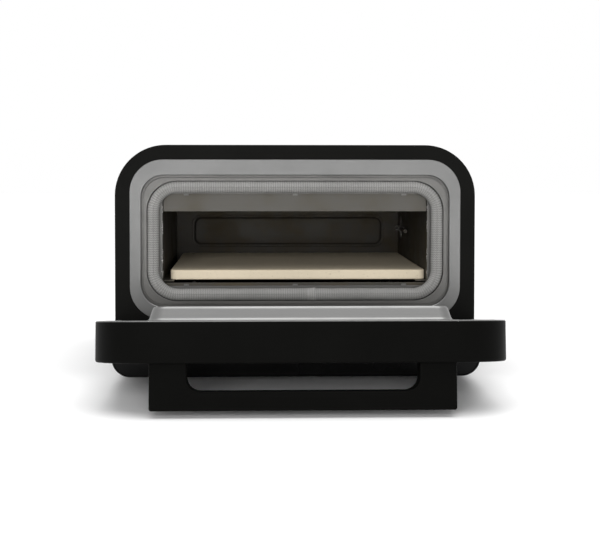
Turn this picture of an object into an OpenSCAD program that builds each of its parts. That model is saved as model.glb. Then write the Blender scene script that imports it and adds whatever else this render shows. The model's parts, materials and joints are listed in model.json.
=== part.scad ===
// Countertop electric pizza oven with a front drop-down door.
// X runs across the front, Y from the front to the back, Z up from the table.
// Every piece is drawn with the middle of the body at x = 0, the front face at
// y = 0 and the table at z = 0, and is then moved to the middle of the whole.
// The door is drawn shut and is then swung open about its hinge.

/* [Body] */
// Width of the body across its sides
body_w = 440; // [420:1:470]
// Height of the body without its feet
body_h = 276.5; // [270:0.5:300]
// Depth of the body from its front face to its back face
body_d = 400; // [380:1:440]
// Radius of the upper corners, seen from the front
top_corner_r = 62; // [45:1:75]
// Radius of the lower corners, seen from the front
low_corner_r = 22; // [14:1:28]
// Thickness of the painted body panels
panel_t = 1.2; // [0.8:0.1:1.8]
// Thickness of the front face sheet
fascia_t = 1.5; // [1:0.1:2.5]
// Depth of the flange that the front face turns back into the shell
fascia_flange = 12; // [8:1:20]
// Height of the base tray's sides
base_side_h = 24; // [23:1:40]
// Height that the base tray laps up inside the shell
base_lap = 12; // [6:1:20]
// Height of the feet
foot_h = 10; // [8:1:16]
// Radius of a foot
foot_r = 13; // [9:0.5:16]
// Distance of the foot centres from the sides of the body
foot_inset_x = 55; // [40:1:80]
// Distance of the foot centres from the front and the back
foot_inset_y = 45; // [30:1:80]

/* [Front frame and seal] */
// Black border between the body's edge and the steel frame
frame_border = 18; // [14:0.5:24]
// Height of the steel frame's lower edge above the body's underside
frame_rise = 63.5; // [62:0.5:70]
// Corner radius of the steel frame
frame_r = 40; // [30:1:50]
// Width of the frame's side bands
frame_side = 13.7; // [10:0.1:17]
// Height of the frame's top band
frame_top = 19; // [15:0.5:23]
// Height of the frame's bottom band
frame_low = 15.5; // [12:0.5:18]
// Corner radius of the opening in the frame
frame_inner_r = 27.5; // [20:0.5:35]
// Step from the frame's inner edge down to the seal's channel
channel_step = 3.4; // [2:0.1:5]
// Thickness of the channel sheet
channel_t = 1.2; // [0.8:0.1:1.6]
// Diameter of the woven seal rope
rope_d = 15; // [12:0.5:17]
// Gap between the rope and the channel's outer wall
rope_gap = 2.2; // [1:0.1:3]
// Corner radius of the rope's centreline
rope_corner_r = 30; // [20:1:40]
// How far the rope lies behind the front face
rope_set = 0.4; // [0.3:0.1:2]
// Thickness of the sleeve over the rope's joint
sleeve_t = 0.7; // [0.4:0.1:0.9]
// Length of the sleeve over the rope's joint
sleeve_len = 26; // [15:1:50]
// Distance of the sleeve's middle from the middle of the oven
sleeve_x = 25; // [-80:1:80]

/* [Cavity] */
// Thickness of the cavity sheets
wall_t = 1; // [0.6:0.1:1.5]
// Sheet left between the rope and the cavity at the sides
mouth_lip_side = 3.3; // [2:0.1:5]
// Sheet left between the rope and the cavity at the top
mouth_lip_top = 1; // [0.5:0.1:3]
// Sheet left between the rope and the cavity at the bottom
mouth_lip_low = 2.3; // [1:0.1:4]
// How far the floor's front lip stands above the channel
floor_lip = 3.8; // [2:0.1:6]
// Drop from the top of the front lip to the floor
floor_drop = 24; // [20:1:28]
// Thickness of the floor's front lip and of the heat shield
lip_t = 1.2; // [0.8:0.1:1.6]
// Height of the heat shield that shows below the cavity's top
shield_drop = 21.8; // [15:0.1:30]
// Height of the shield behind the channel
shield_hidden = 9; // [6:0.5:14]
// Distance of the outer shield tabs from the middle
tab_spacing = 134; // [100:1:145]
// Outer width of the embossed bead on the back wall
bead_w = 282; // [200:1:300]
// Outer height of the embossed bead on the back wall
bead_h = 46; // [30:1:60]
// Width of the bead
bead_band = 4; // [3:0.5:6]
// Height of the bead off the wall
bead_t = 1; // [0.5:0.1:1.5]
// Height of the bead's lower edge above the stone
bead_rise = 9; // [4:1:14]

/* [Stone] */
// Thickness of the baking stone
stone_t = 12; // [8:0.5:16]
// Gap between the stone and the left wall
stone_gap_left = 8.7; // [4:0.1:12]
// Gap between the stone and the right wall
stone_gap_right = 0.7; // [0.4:0.1:4]
// Distance of the stone from the mouth
stone_gap_front = 12; // [6:0.5:30]
// Gap between the stone and the back wall
stone_gap_back = 4; // [2:0.5:10]
// Height of the stone's underside above the front lip
stone_rise = 2.8; // [1:0.1:6]
// Corner radius of the stone, seen from above
stone_r = 9; // [4:1:20]
// Width of the ledge that carries the stone
rail_ledge = 14; // [11:0.5:20]

/* [Insulation] */
// Thickness of the blanket over the cavity
blanket_top = 35; // [20:1:45]
// Thickness of the blankets beside the cavity
blanket_side = 20; // [12:1:22]
// Thickness of the blanket under the cavity
blanket_low = 24; // [12:1:28]
// Thickness of the blanket behind the cavity
blanket_back = 24; // [15:1:35]
// Air space between the rear blanket and the back panel
rear_gap = 24.8; // [22:0.2:40]

/* [Door] */
// Thickness of the door
door_t = 44; // [38:1:50]
// How far the door stands past the body at the sides and the top
door_over = 1.5; // [0:0.1:4]
// Gap between the shut door and the front face
door_gap = 1; // [0.6:0.1:3]
// Height of the hinge axis above the body's underside
hinge_rise = 43; // [42.5:0.5:46]
// Angle between the open door and the table
open_tilt = 6.6; // [3:0.2:15]
// Thickness of the door's outer skin
skin_t = 1.2; // [0.8:0.1:2]
// Thickness of the door's inner sheet
liner_t = 1; // [0.8:0.1:1.5]
// How far the inner sheet stays inside the skin's edge
liner_inset = 0.6; // [0:0.1:2]
// Height of the raised pan on the inner sheet
pan_h = 15.6; // [8:0.1:15.8]
// Slope of the pan's sides
pan_slope = 5; // [2:0.5:8]
// Gap between the pan's foot and the rope, seen from the front
pan_gap = 0.7; // [0.5:0.1:8]
// Corner radius of the pan
pan_r = 16; // [10:1:20]
// Width of the window
window_w = 236; // [160:1:250]
// Height of the window
window_h = 58; // [40:1:62]
// Corner radius of the window
window_r = 10; // [6:1:14]
// Thickness of the window panes
glass_t = 4; // [3:0.5:5]
// How far a pane laps its opening
glass_lap = 9; // [6:0.5:11]
// Thickness of the duct between the two panes
duct_t = 0.8; // [0.6:0.1:1.5]

/* [Handle] */
// Width of the handle
handle_w = 321; // [260:1:340]
// Width of a handle leg
handle_leg_w = 39; // [25:1:50]
// Reach of the handle from the door's face
handle_reach = 49.3; // [40:0.1:52]
// Thickness of the handle's bar
handle_bar = 20.4; // [14:0.2:22]
// Height of the handle along the door
handle_h = 24; // [16:1:32]
// Distance of the handle from the door's top edge
handle_drop = 8; // [4:1:20]
// Radius of the finger slot's corners
handle_slot_r = 14; // [8:1:16]
// Radius of the handle's outer corners
handle_corner_r = 2.5; // [1:0.5:8]

/* [Hinge] */
// Thickness of a hinge ear
ear_t = 4; // [3:0.5:6]
// Radius of the round end of a hinge ear
ear_r = 8; // [7:0.5:9]
// Distance of an ear's middle from the body's side
ear_inset = 30; // [24:1:40]
// Radius of a hinge pin
pin_r = 4; // [3:0.25:4.5]
// Length of a hinge pin on each side of its ear
pin_len = 11; // [8:1:12]
// Running clearance around a hinge pin
pin_fit = 0.05; // [0.02:0.01:0.1]
// Wall of a hinge bush
bush_t = 1.5; // [1:0.25:2]
// Clearance between an ear and the slots that it passes
ear_clear = 1; // [0.5:0.1:2]

/* [Plinth] */
// Height of the plinth under the door
plinth_h = 20; // [16:0.5:20.5]
// How far the plinth stands out past the shut door
plinth_over = 0.5; // [-2:0.1:4]
// Wall of the plinth
plinth_t = 1.5; // [1:0.1:3]
// Radius of a door bumper
bumper_r = 5; // [3:0.5:7]
// Distance of the bumpers from the middle
bumper_x = 150; // [60:1:165]

/* [Heating elements] */
// Radius of the element tube
rod_r = 3.25; // [2.5:0.25:4]
// Bend radius of the element tube
rod_bend = 22; // [14:1:30]
// Half width of the element's loop
rod_half_w = 128; // [90:1:135]
// Half distance between the element's ends
rod_end_x = 32; // [20:1:45]
// Distance of the element from the mouth
rod_front = 45; // [35:1:80]
// Distance of the element's loop from the back wall
rod_back = 60; // [45:1:90]
// Gap between the upper element and the cavity's ceiling
rod_top_gap = 6; // [4:0.5:7]
// Gap between the lower element and the cavity's floor
rod_low_gap = 9; // [7:0.5:10]
// Clearance of the holes that the element passes
rod_clear = 0.4; // [0.2:0.1:1]

/* [Controls] */
// Distance of the knobs from the front face
control_y = 178; // [150:1:240]
// Height of the temperature knob above the table
temperature_z = 172; // [160:1:175]
// Height of the timer knob above the table
timer_z = 104; // [100:1:112]
// Width of the control plate
plate_w = 84; // [70:1:100]
// Height of the control plate
plate_h = 160; // [140:1:165]
// Thickness of the control plate
plate_t = 2; // [1:0.1:3]
// Radius of a knob's skirt
knob_r = 21; // [16:0.5:26]
// Height of a knob
knob_h = 15.5; // [10:0.5:16]
// Radius of a control spindle
spindle_r = 3; // [2:0.25:4]
// Depth of a control body behind the shell
control_depth = 24; // [16:1:28]
// Radius of a control body
control_r = 19; // [14:0.5:22]

/* [Hidden] */
$fn = 64;
// Small clearance between pieces that are screwed or folded together
seat_gap = 0.2;
// Overlap that a cut runs past a face
cut = 1;
screw_r = 2;
screw_clear = 0.15;
screw_head_r = 3.6;
screw_head_h = 2;
back_screw_len = 10;
handle_screw_len = 14;

// Body
base_z = foot_h;
top_z = base_z + body_h;
half_w = body_w / 2;
shell_back = body_d - panel_t;
shell_z = base_z + base_side_h;
half_inner = half_w - panel_t;
foot_taper = 1.5;
foot_recess = 5;
lug_w = 6;
lug_h = 12;
lug_d = 8;

// Vents
side_vents = 8;
side_vent_pitch = 11;
side_vent_r = 2;
side_vent_back = 130;
side_vent_rise = 22;
side_vent_h = 40;
side_vent_y = body_d - side_vent_back;
side_vent_z0 = shell_z + side_vent_rise;
side_vent_z1 = side_vent_z0 + side_vent_h;
floor_vents = 10;
floor_vent_pitch = 16;
floor_vent_x = 75;
floor_vent_half = 38;
back_vent_pitch = 14;
back_vent_w = 4.5;
high_vents = 19;
high_vent_rise = 165;
high_vent_h = 50;
high_vent_z0 = base_z + high_vent_rise;
high_vent_z1 = high_vent_z0 + high_vent_h;
low_vents = 11;
low_vent_x = -75;
low_vent_rise = 30;
low_vent_h = 36;
low_vent_z0 = base_z + low_vent_rise;
low_vent_z1 = low_vent_z0 + low_vent_h;

// Front frame, channel and rope
frame_w = body_w - 2 * frame_border;
frame_z1 = top_z - frame_border;
frame_z0 = base_z + frame_rise;
frame_open_w = frame_w - 2 * frame_side;
frame_open_z0 = frame_z0 + frame_low;
frame_open_z1 = frame_z1 - frame_top;
rim_w = frame_open_w - 2 * channel_step;
rim_z0 = frame_open_z0 + channel_step;
rim_z1 = frame_open_z1 - channel_step;
rim_r = frame_inner_r - channel_step;
rope_r = rope_d / 2;
rope_in = channel_t + rope_gap + rope_r;
rope_half_w = rim_w / 2 - rope_in;
rope_z0 = rim_z0 + rope_in;
rope_z1 = rim_z1 - rope_in;
rope_y = rope_set + rope_r;
channel_y = rope_set + rope_d;
lip_y = channel_y + channel_t;
flange_w = 7;
rope_path = [[-rope_half_w, rope_z0], [rope_half_w, rope_z0], [rope_half_w, rope_z1], [-rope_half_w, rope_z1]];
tab_w = 6;
tab_lip = 0.8;
tab_turn = 2.2;

// Cavity
cav_half = rope_half_w - rope_r - mouth_lip_side;
cav_z1 = rope_z1 - rope_r - mouth_lip_top;
mouth_z0 = rope_z0 + rope_r + mouth_lip_low;
lip_z = mouth_z0 + floor_lip;
floor_z = lip_z - floor_drop;
cav_y0 = lip_y + lip_t;
cav_y1 = body_d - panel_t - rear_gap - blanket_back - wall_t;
cav_out = cav_half + wall_t;
bead_r = 12;

// Stone and its ledges
stone_z = lip_z + stone_rise;
stone_x0 = -cav_half + stone_gap_left;
stone_x1 = cav_half - stone_gap_right;
stone_y0 = lip_y + stone_gap_front;
stone_y1 = cav_y1 - stone_gap_back;
rail_t = 1.2;
rail_y0 = cav_y0 + seat_gap;
rail_y1 = cav_y1 - seat_gap;

// Door and hinge
hinge_z = base_z + hinge_rise;
hinge_y = -door_gap - door_t / 2;
door_front = -door_gap - door_t;
door_w = body_w + 2 * door_over;
door_top = top_z + door_over;
door_r = top_corner_r + door_over;
end_r = door_t / 2;
swing = 90 - open_tilt;
liner_y = -door_gap - liner_t;
pan_half_w = rope_half_w - rope_r - pan_gap;
pan_z1 = rope_z1 - rope_r - pan_gap;
pan_z0 = mouth_z0 + 1;
pan_mid_z = (pan_z0 + pan_z1) / 2;
pan_front = -door_gap + pan_h;
inner_glass_y = pan_front - liner_t - glass_t;
outer_glass_y = door_front + skin_t;
duct_inset = 4;
duct_w = window_w + 2 * glass_lap - 2 * duct_inset;
duct_h = window_h + 2 * glass_lap - 2 * duct_inset;
outer_extra = 7;
opening_round = 4;
pane_r = 8;
pane_clear = 1;
blanket_side_gap = 24;
blanket_clear = 2;
blanket_drop = 20;
blanket_r_top = 45;
blanket_r_low = 6;
liner_screw_top = 14;
liner_screw_side = 12;
liner_screw_rise = 30;
liner_screw_drop = 10;
liner_screw_places = [for (x = [-0.5, 0.5]) [x * handle_w, door_top - liner_screw_top],
    for (s = [-1, 1], z = [hinge_z + liner_screw_rise, door_top - door_r - liner_screw_drop])
    [s * (door_w / 2 - liner_screw_side), z]];
boss_r = 5;
boss_hole = 10;

// Handle
handle_z1 = door_top - handle_drop;
handle_z0 = handle_z1 - handle_h;
slot_half = handle_w / 2 - handle_leg_w;
slot_depth = handle_reach - handle_bar;
leg_x = handle_w / 2 - handle_leg_w / 2;
handle_mid_z = (handle_z0 + handle_z1) / 2;
handle_screw_x = 10;

// Hinge brackets and blocks
bracket_t = 3;
bracket_half = 18;
bracket_low = 20;
bracket_high = 12;
bracket_screw_x = 11;
bracket_clear = 2;
bracket_room = 0.5;
bracket_screw_drop = 8;
bracket_screw_z = hinge_z - bracket_screw_drop;
hinge_block_r = 11;
hinge_block_h = 18;
hinge_block_past = 2;
hinge_block_w = pin_len + hinge_block_past - ear_clear;

// Plinth
plinth_y = door_front - plinth_over;
plinth_z1 = base_z + plinth_h;
bumper_y = hinge_y - end_r / 2;
bumper_gap = 0.3;

// Elements
rod_top_z = cav_z1 - rod_top_gap - rod_r;
rod_low_z = floor_z + rod_low_gap + rod_r;
blanket_back_y = cav_y1 + wall_t + blanket_back;
terminal_bead = 6;
rod_end_y = blanket_back_y + terminal_bead;
rod_y0 = lip_y + rod_front;
rod_y1 = cav_y1 - rod_back;
rod_path = [[-rod_end_x, rod_end_y], [-rod_end_x, rod_y1], [-rod_half_w, rod_y1],
    [-rod_half_w, rod_y0], [rod_half_w, rod_y0], [rod_half_w, rod_y1],
    [rod_end_x, rod_y1], [rod_end_x, rod_end_y]];
clip_t = 2.4;
clip_w = 10;
clip_end = 60;
terminal_wall = 3.5;
terminal_half_w = 3.1;
terminal_half_t = 0.4;
terminal_len = 10;

// Controls
plate_x = half_w + plate_t;
knob_gap = 0.5;
knob_x = plate_x + knob_gap;
knob_tip = knob_x + knob_h;
plate_mid_z = (temperature_z + timer_z) / 2;
neck_wall = 2.2;
neck_r = spindle_r + neck_wall;
control_zs = [temperature_z, timer_z];
control_tab_y = 9;
control_tab_half = 3;
control_tab_len = 6;
spindle_seat = 11;
plate_r = 10;
plate_screw_inset = 8;
plate_screw_places = [for (s = [-1, 1], t = [-1, 1])
    [control_y + s * (plate_w / 2 - plate_screw_inset), plate_mid_z + t * (plate_h / 2 - plate_screw_inset)]];
skirt_t = 3.5;
grip_inset = 5;
grip_drop = 1.5;
rib_half_w = 4.5;
rib_inset = 2;
knob_roof = 4;
lamp_r = 4;
lamp_bezel = 1.2;
lamp_stand = 0.6;
lamp_dome_h = 2;

// Probe on the right wall
probe_r = 2.5;
probe_drop = 9;
probe_wall_gap = 5;
probe_front = 140;
probe_back = 30;
probe_end = 11;
probe_z = (stone_z + stone_t + cav_z1) / 2 - probe_drop;
probe_x = cav_half - probe_wall_gap;
probe_y0 = cav_y1 - probe_front;
probe_y1 = cav_y1 - probe_back;
bracket_y = probe_y1 - probe_end;
capillary_r = 1;
capillary_gap = 4;
capillary_set = 14;
capillary_x = cav_out + blanket_side + capillary_gap;
capillary_bend = 3;
capillary_y = control_y + capillary_set;
clip_pitch = 39;
clip_half = 4;
clip_r = 3.5;
wall_plate_t = 1;
wall_plate_half = 11;
wall_plate_r = 6;
wall_plate_hole_r = 1.5;
cutout_r = 8;
cutout_h = 9;
cutout_tab_y = 4;
cutout_tab_half = 2;
cutout_tab_len = 8;
cutout_set = 75;
cutout_drop = 25;
cutout_y = control_y + cutout_set;
cutout_z = probe_z - cutout_drop;

// Power inlet
inlet_w = 48;
inlet_h = 28;
inlet_side = 70;
inlet_rise = 38;
inlet_x = half_w - inlet_side;
inlet_z = base_z + inlet_rise;
inlet_rim = 2;
inlet_deep = 20;
inlet_lap_x = 4;
inlet_lap_z = 3;
socket_half_w = 13;
socket_half_h = 9;
socket_deep = 16;
socket_pin_pitch = 7;
socket_pin_half = 1;
socket_pin_h = 5;
socket_pin_rise = 1.5;
socket_pin_reach = 3;

// Terminal block
block_w = 44;
block_d = 18;
block_h = 16;
block_back = 90;
block_y = shell_back - block_back;
block_z = base_z + panel_t;
loom_r = 3.5;
loom_x = half_inner - control_depth - loom_r;
loom_y = block_y + block_d / 2;
loom_z = block_z + block_h + loom_r;
loom_bend = 12;
loom_drop = 10;
loom_top = temperature_z - loom_drop;
lead_pitch = 14;
block_hole_r = 2.6;
block_hole_rise = 6;
block_hole_z = block_z + block_hole_rise;
lead_bend = 8;
lead_rise = 5;
lead_z = inlet_z - inlet_h / 2 + lead_rise;

// The whole object, from its left edge to its right and from front to back
open_front = hinge_y - end_r * cos(swing) - (door_top - hinge_z) * sin(swing);
back_reach = body_d + inlet_rim;
mid_x = (knob_tip - door_w / 2) / 2;
mid_y = (open_front + back_reach) / 2;

// Moves a piece from the front of the body to the middle of the whole object
module rest() translate([-mid_x, -mid_y, 0]) children();

// Swings a piece of the shut door open about the hinge axis
module door() rest() translate([0, hinge_y, hinge_z]) rotate([swing, 0, 0])
    translate([0, -hinge_y, -hinge_z]) children();

// Turns an outline in X and Z into a slab from y0 to y1
module slab(y0, y1) translate([0, y1, 0]) rotate([90, 0, 0]) linear_extrude(y1 - y0) children();

// Rounded rectangle with its own radius at the top and at the bottom
module round_rect(w, z0, z1, r_top, r_low) {
    translate([-w / 2, z0 + r_low]) square([w, z1 - z0 - r_top - r_low]);
    translate([r_top - w / 2, z0 + r_low]) square([w - 2 * r_top, z1 - z0 - r_low]);
    translate([r_low - w / 2, z0]) square([w - 2 * r_low, z1 - z0 - r_top]);
    for (s = [-1, 1]) {
        translate([s * (w / 2 - r_top), z1 - r_top]) circle(r_top);
        translate([s * (w / 2 - r_low), z0 + r_low]) circle(r_low);
    }
}

// Outline of the body seen from the front, set in by an even distance
module body_outline(inset = 0) round_rect(body_w - 2 * inset, base_z + inset, top_z - inset,
    top_corner_r - inset, low_corner_r - inset);

// Outline of the opening that the steel frame fills
module frame_outline(gap = 0) round_rect(frame_w + 2 * gap, frame_z0 - gap, frame_z1 + gap,
    frame_r + gap, frame_r + gap);

// Outline of the opening in the steel frame, set in by an even distance
module rim_outline(inset = 0) round_rect(frame_open_w - 2 * inset, frame_open_z0 + inset,
    frame_open_z1 - inset, frame_inner_r - inset, frame_inner_r - inset);

// Plain box between two corners
module box(a, b) translate(a) cube(b - a);

// Round bar along X, along Y or along Z
module bar_x(x0, x1, y, z, r) translate([x0, y, z]) rotate([0, 90, 0]) cylinder(h = x1 - x0, r = r);
module bar_y(y0, y1, x, z, r) translate([x, y0, z]) rotate([-90, 0, 0]) cylinder(h = y1 - y0, r = r);
module bar_z(z0, z1, x, y, r) translate([x, y, z0]) cylinder(h = z1 - z0, r = r);

// Tube along points that turn at right angles, with round bends, open or closed
module bent_rod(p, r, bend, closed = false) {
    n = len(p);
    last = closed ? n - 1 : n - 2;
    for (i = [0 : last]) {
        way = p[(i + 1) % n] - p[i];
        dir = way / norm(way);
        from = p[i] + dir * (closed || i > 0 ? bend : 0);
        to = p[(i + 1) % n] - dir * (closed || i < last ? bend : 0);
        translate(from) rotate([0, 90, atan2(dir.y, dir.x)]) cylinder(h = norm(to - from), r = r);
    }
    for (i = [closed ? 0 : 1 : last]) {
        a = p[i] - p[(i + n - 1) % n];
        b = p[(i + 1) % n] - p[i];
        u = a / norm(a);
        v = b / norm(b);
        turn = u.x * v.y - u.y * v.x > 0 ? atan2(-v.y, -v.x) : atan2(u.y, u.x);
        translate(p[i] + (v - u) * bend) rotate([0, 0, turn]) rotate_extrude(angle = 90)
            translate([bend, 0]) circle(r);
    }
}

// Screw with its head's seat at the origin and its shank down the -Z axis
module screw(len, r = screw_r) {
    translate([0, 0, -len]) cylinder(h = len + 0.1, r = r);
    cylinder(h = screw_head_h, r1 = screw_head_r, r2 = screw_head_r * 0.75);
}

// Row of upright vent slots with round ends, cut through the back panel
module slot_row(count, x, z0, z1) for (i = [0 : count - 1]) {
    sx = x + (i - (count - 1) / 2) * back_vent_pitch;
    r = back_vent_w / 2;
    box([sx - r, shell_back - cut, z0 + r], [sx + r, body_d + cut, z1 - r]);
    for (z = [z0 + r, z1 - r]) bar_y(shell_back - cut, body_d + cut, sx, z, r);
}

// Places of the fasteners
back_screw_places = [for (s = [-1, 1], z = [shell_z + base_lap + lug_h, top_z - top_corner_r - lug_h])
    [s * (half_w - 9), z]];
foot_places = [for (s = [-1, 1], y = [foot_inset_y, body_d - foot_inset_y]) [s * (half_w - foot_inset_x), y]];
ear_places = [half_w - ear_inset, ear_inset - half_w];

// Body

// Painted wrap of the top and the two sides, with vent slots low at the back
module outer_shell() color("#1c1c1a") rest() difference() {
    slab(fascia_t, shell_back) body_outline();
    slab(fascia_t - cut, shell_back + cut) body_outline(panel_t);
    box([-half_w - cut, 0, 0], [half_w + cut, body_d, shell_z]);
    for (z = control_zs) bar_x(half_inner - cut, half_w + cut, control_y, z, neck_r + seat_gap);
    for (i = [0 : side_vents - 1]) translate([0, side_vent_y + i * side_vent_pitch, 0]) {
        box([-half_w - cut, -side_vent_r, side_vent_z0], [half_w + cut, side_vent_r, side_vent_z1]);
        for (z = [side_vent_z0, side_vent_z1]) bar_x(-half_w - cut, half_w + cut, 0, z, side_vent_r);
    }
}

// Painted front face with the opening for the frame and slots for the hinge ears
module front_fascia() color("#1a1a18") rest() difference() {
    union() {
        slab(0, fascia_t) body_outline();
        difference() {
            slab(fascia_t, fascia_t + fascia_flange) body_outline(panel_t + seat_gap);
            slab(fascia_t - cut, fascia_t + fascia_flange + cut) body_outline(2 * panel_t + seat_gap);
            box([-half_w, 0, 0], [half_w, body_d, shell_z + base_lap + seat_gap]);
        }
    }
    slab(-cut, fascia_t + cut) frame_outline(seat_gap);
    for (x = ear_places) box([x - ear_t / 2 - ear_clear, -cut, hinge_z - ear_r - ear_clear],
        [x + ear_t / 2 + ear_clear, fascia_t + cut, hinge_z + ear_r + ear_clear]);
}

// Low plinth under the door, a box open at the back
module front_plinth() color("#101010") rest() difference() {
    slab(plinth_y, 0) body_outline();
    box([-half_w - cut, plinth_y - cut, plinth_z1], [half_w + cut, cut, top_z + cut]);
    difference() {
        slab(plinth_y + plinth_t, cut) body_outline(plinth_t);
        box([-half_w, plinth_y, plinth_z1 - plinth_t], [half_w, 2 * cut, top_z + cut]);
    }
}

// Painted base tray with cooling slots, lapped up inside the shell
module base_pan() color("#20201e") rest() difference() {
    union() {
        difference() {
            slab(fascia_t, shell_back) body_outline();
            slab(fascia_t - cut, shell_back + cut) body_outline(panel_t);
            box([-half_w - cut, 0, shell_z], [half_w + cut, body_d, top_z + cut]);
        }
        for (s = [-1, 1]) {
            lap = [s * (half_inner - panel_t / 2), 0, 0];
            translate(lap) box([-panel_t / 2, fascia_t + seat_gap, shell_z - panel_t],
                [panel_t / 2, shell_back - seat_gap, shell_z + base_lap]);
        }
    }
    for (p = foot_places) bar_z(base_z - cut, block_z + cut, p.x, p.y, screw_r + screw_clear);
    for (s = [-1, 1], i = [0 : floor_vents - 1])
        translate([s * floor_vent_x, body_d / 2 + (i - (floor_vents - 1) / 2) * floor_vent_pitch, 0])
        box([-floor_vent_half, -side_vent_r, base_z - cut], [floor_vent_half, side_vent_r, block_z + cut]);
}

// Painted back panel with vent slots, the inlet's cut-out and screw holes
module back_panel() color("#20201e") rest() difference() {
    slab(shell_back, body_d) body_outline();
    slot_row(high_vents, 0, high_vent_z0, high_vent_z1);
    slot_row(low_vents, low_vent_x, low_vent_z0, low_vent_z1);
    box([inlet_x - inlet_w / 2, shell_back - cut, inlet_z - inlet_h / 2],
        [inlet_x + inlet_w / 2, body_d + cut, inlet_z + inlet_h / 2]);
    for (p = back_screw_places) bar_y(shell_back - cut, body_d + cut, p.x, p.y, screw_r + screw_clear);
}

// Four rubber feet, each hollow underneath where its screw sits
module feet() color("#111111") rest() for (p = foot_places) translate([p.x, p.y, 0]) difference() {
    cylinder(h = base_z, r1 = foot_r - foot_taper, r2 = foot_r);
    translate([0, 0, -cut]) cylinder(h = cut + foot_recess, r = screw_head_r + foot_taper);
    cylinder(h = base_z + cut, r = screw_r + screw_clear);
}

// Screws that hold the feet, with their heads up inside the rubber
module foot_screws() color("#8a8a8a") rest() for (p = foot_places)
    translate([p.x, p.y, foot_recess]) rotate([180, 0, 0]) screw(base_z);

// Screws of the back panel, each in a small tapped lug behind it
module shell_screws() color("#8a8a8a") rest() for (p = back_screw_places) {
    translate([p.x, body_d, p.y]) rotate([-90, 0, 0]) screw(back_screw_len);
    difference() {
        x_out = sign(p.x) * half_inner;
        x_in = p.x - sign(p.x) * lug_w;
        box([min(x_out, x_in), shell_back - lug_d, p.y - lug_h / 2],
            [max(x_out, x_in), shell_back, p.y + lug_h / 2]);
        bar_y(shell_back - lug_d - cut, body_d, p.x, p.y, screw_r);
    }
}

// Front frame and seal

// Flat steel frame, flush in the front face
module front_frame() color("#9a9a98") rest() difference() {
    slab(0, fascia_t) frame_outline();
    slab(-cut, fascia_t + cut) rim_outline();
}

// Stepped steel channel that carries the frame and the seal rope
module gasket_channel() color("#8c8a86") rest() difference() {
    union() {
        slab(fascia_t, fascia_t + channel_t) frame_outline(flange_w);
        slab(fascia_t, lip_y) rim_outline(channel_step);
    }
    slab(fascia_t - cut, channel_y) rim_outline(channel_step + channel_t);
    box([-cav_half, 0, mouth_z0], [cav_half, lip_y + cut, cav_z1]);
    for (x = ear_places) box([x - bracket_half - bracket_clear, 0, 0],
        [x + bracket_half + bracket_clear, lip_y, frame_z0 - bracket_room]);
}

// Woven glass rope that seals the door, one standing loop
module door_gasket() color("#8f8d88") rest() translate([0, rope_y, 0]) rotate([90, 0, 0])
    bent_rod(rope_path, rope_r, rope_corner_r, closed = true);

// Sleeve over the joint of the rope, slit open where it lies in the channel
module gasket_sleeve() color("#a09e98") rest() difference() {
    bar_x(sleeve_x - sleeve_len / 2, sleeve_x + sleeve_len / 2, rope_y, rope_z0, rope_r + sleeve_t);
    bar_x(sleeve_x - sleeve_len, sleeve_x + sleeve_len, rope_y, rope_z0, rope_r);
    box([sleeve_x - sleeve_len, channel_y - sleeve_t, 0], [sleeve_x + sleeve_len, channel_y + rope_d, rope_z1]);
}

// Small folded tabs that hold the shield and the floor's lip to the channel
module mouth_tabs() color("#b5b2ac") rest() for (x = [-tab_spacing, 0, tab_spacing]) {
    x0 = x - tab_w / 2;
    x1 = x + tab_w / 2;
    box([x0, channel_y - tab_lip, cav_z1 - tab_turn], [x1, channel_y, cav_z1 + tab_lip]);
    box([x0, channel_y, cav_z1 - tab_turn], [x1, lip_y, cav_z1]);
    box([x0, channel_y - tab_lip, mouth_z0 - tab_lip], [x1, channel_y, mouth_z0 + tab_turn]);
    box([x0, channel_y, mouth_z0], [x1, lip_y, mouth_z0 + tab_turn]);
}

// Plate across the top of the mouth that shields the upper element
module heat_shield() color("#5c5a56") rest() box([-cav_half + 1, lip_y, cav_z1 - shield_drop],
    [cav_half - 1, lip_y + lip_t, cav_z1 + shield_hidden]);

// Cavity

// Floor tray with a raised front lip
module cavity_floor() color("#4a4844") rest() {
    box([-cav_out, lip_y, floor_z - wall_t], [cav_out, lip_y + lip_t, lip_z]);
    box([-cav_out, lip_y + lip_t, floor_z - wall_t], [cav_out, cav_y1, floor_z]);
}

module cavity_ceiling() color("#3c3a37") rest()
    box([-cav_out, cav_y0, cav_z1], [cav_out, cav_y1, cav_z1 + wall_t]);

module cavity_left_wall() color("#34322f") rest()
    box([-cav_out, cav_y0, floor_z], [-cav_half, cav_y1, cav_z1]);

module cavity_right_wall() color("#34322f") rest() difference() {
    box([cav_half, cav_y0, floor_z], [cav_out, cav_y1, cav_z1]);
    bar_x(cav_half - cut, cav_out + cut, probe_y1 - probe_r, probe_z, capillary_r + rod_clear);
}

// Back wall with an embossed bead and holes for the element ends
module cavity_back_wall() color("#3c3a37") rest() {
    difference() {
        box([-cav_out, cav_y1, floor_z - wall_t], [cav_out, cav_y1 + wall_t, cav_z1 + wall_t]);
        for (s = [-1, 1], z = [rod_top_z, rod_low_z])
            bar_y(cav_y1 - cut, cav_y1 + wall_t + cut, s * rod_end_x, z, rod_r + rod_clear);
    }
    bead_z0 = stone_z + stone_t + bead_rise;
    difference() {
        slab(cav_y1 - bead_t, cav_y1) round_rect(bead_w, bead_z0, bead_z0 + bead_h, bead_r, bead_r);
        slab(cav_y1 - bead_t - cut, cav_y1 + cut) round_rect(bead_w - 2 * bead_band, bead_z0 + bead_band,
            bead_z0 + bead_h - bead_band, bead_r - bead_band, bead_r - bead_band);
    }
}

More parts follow.
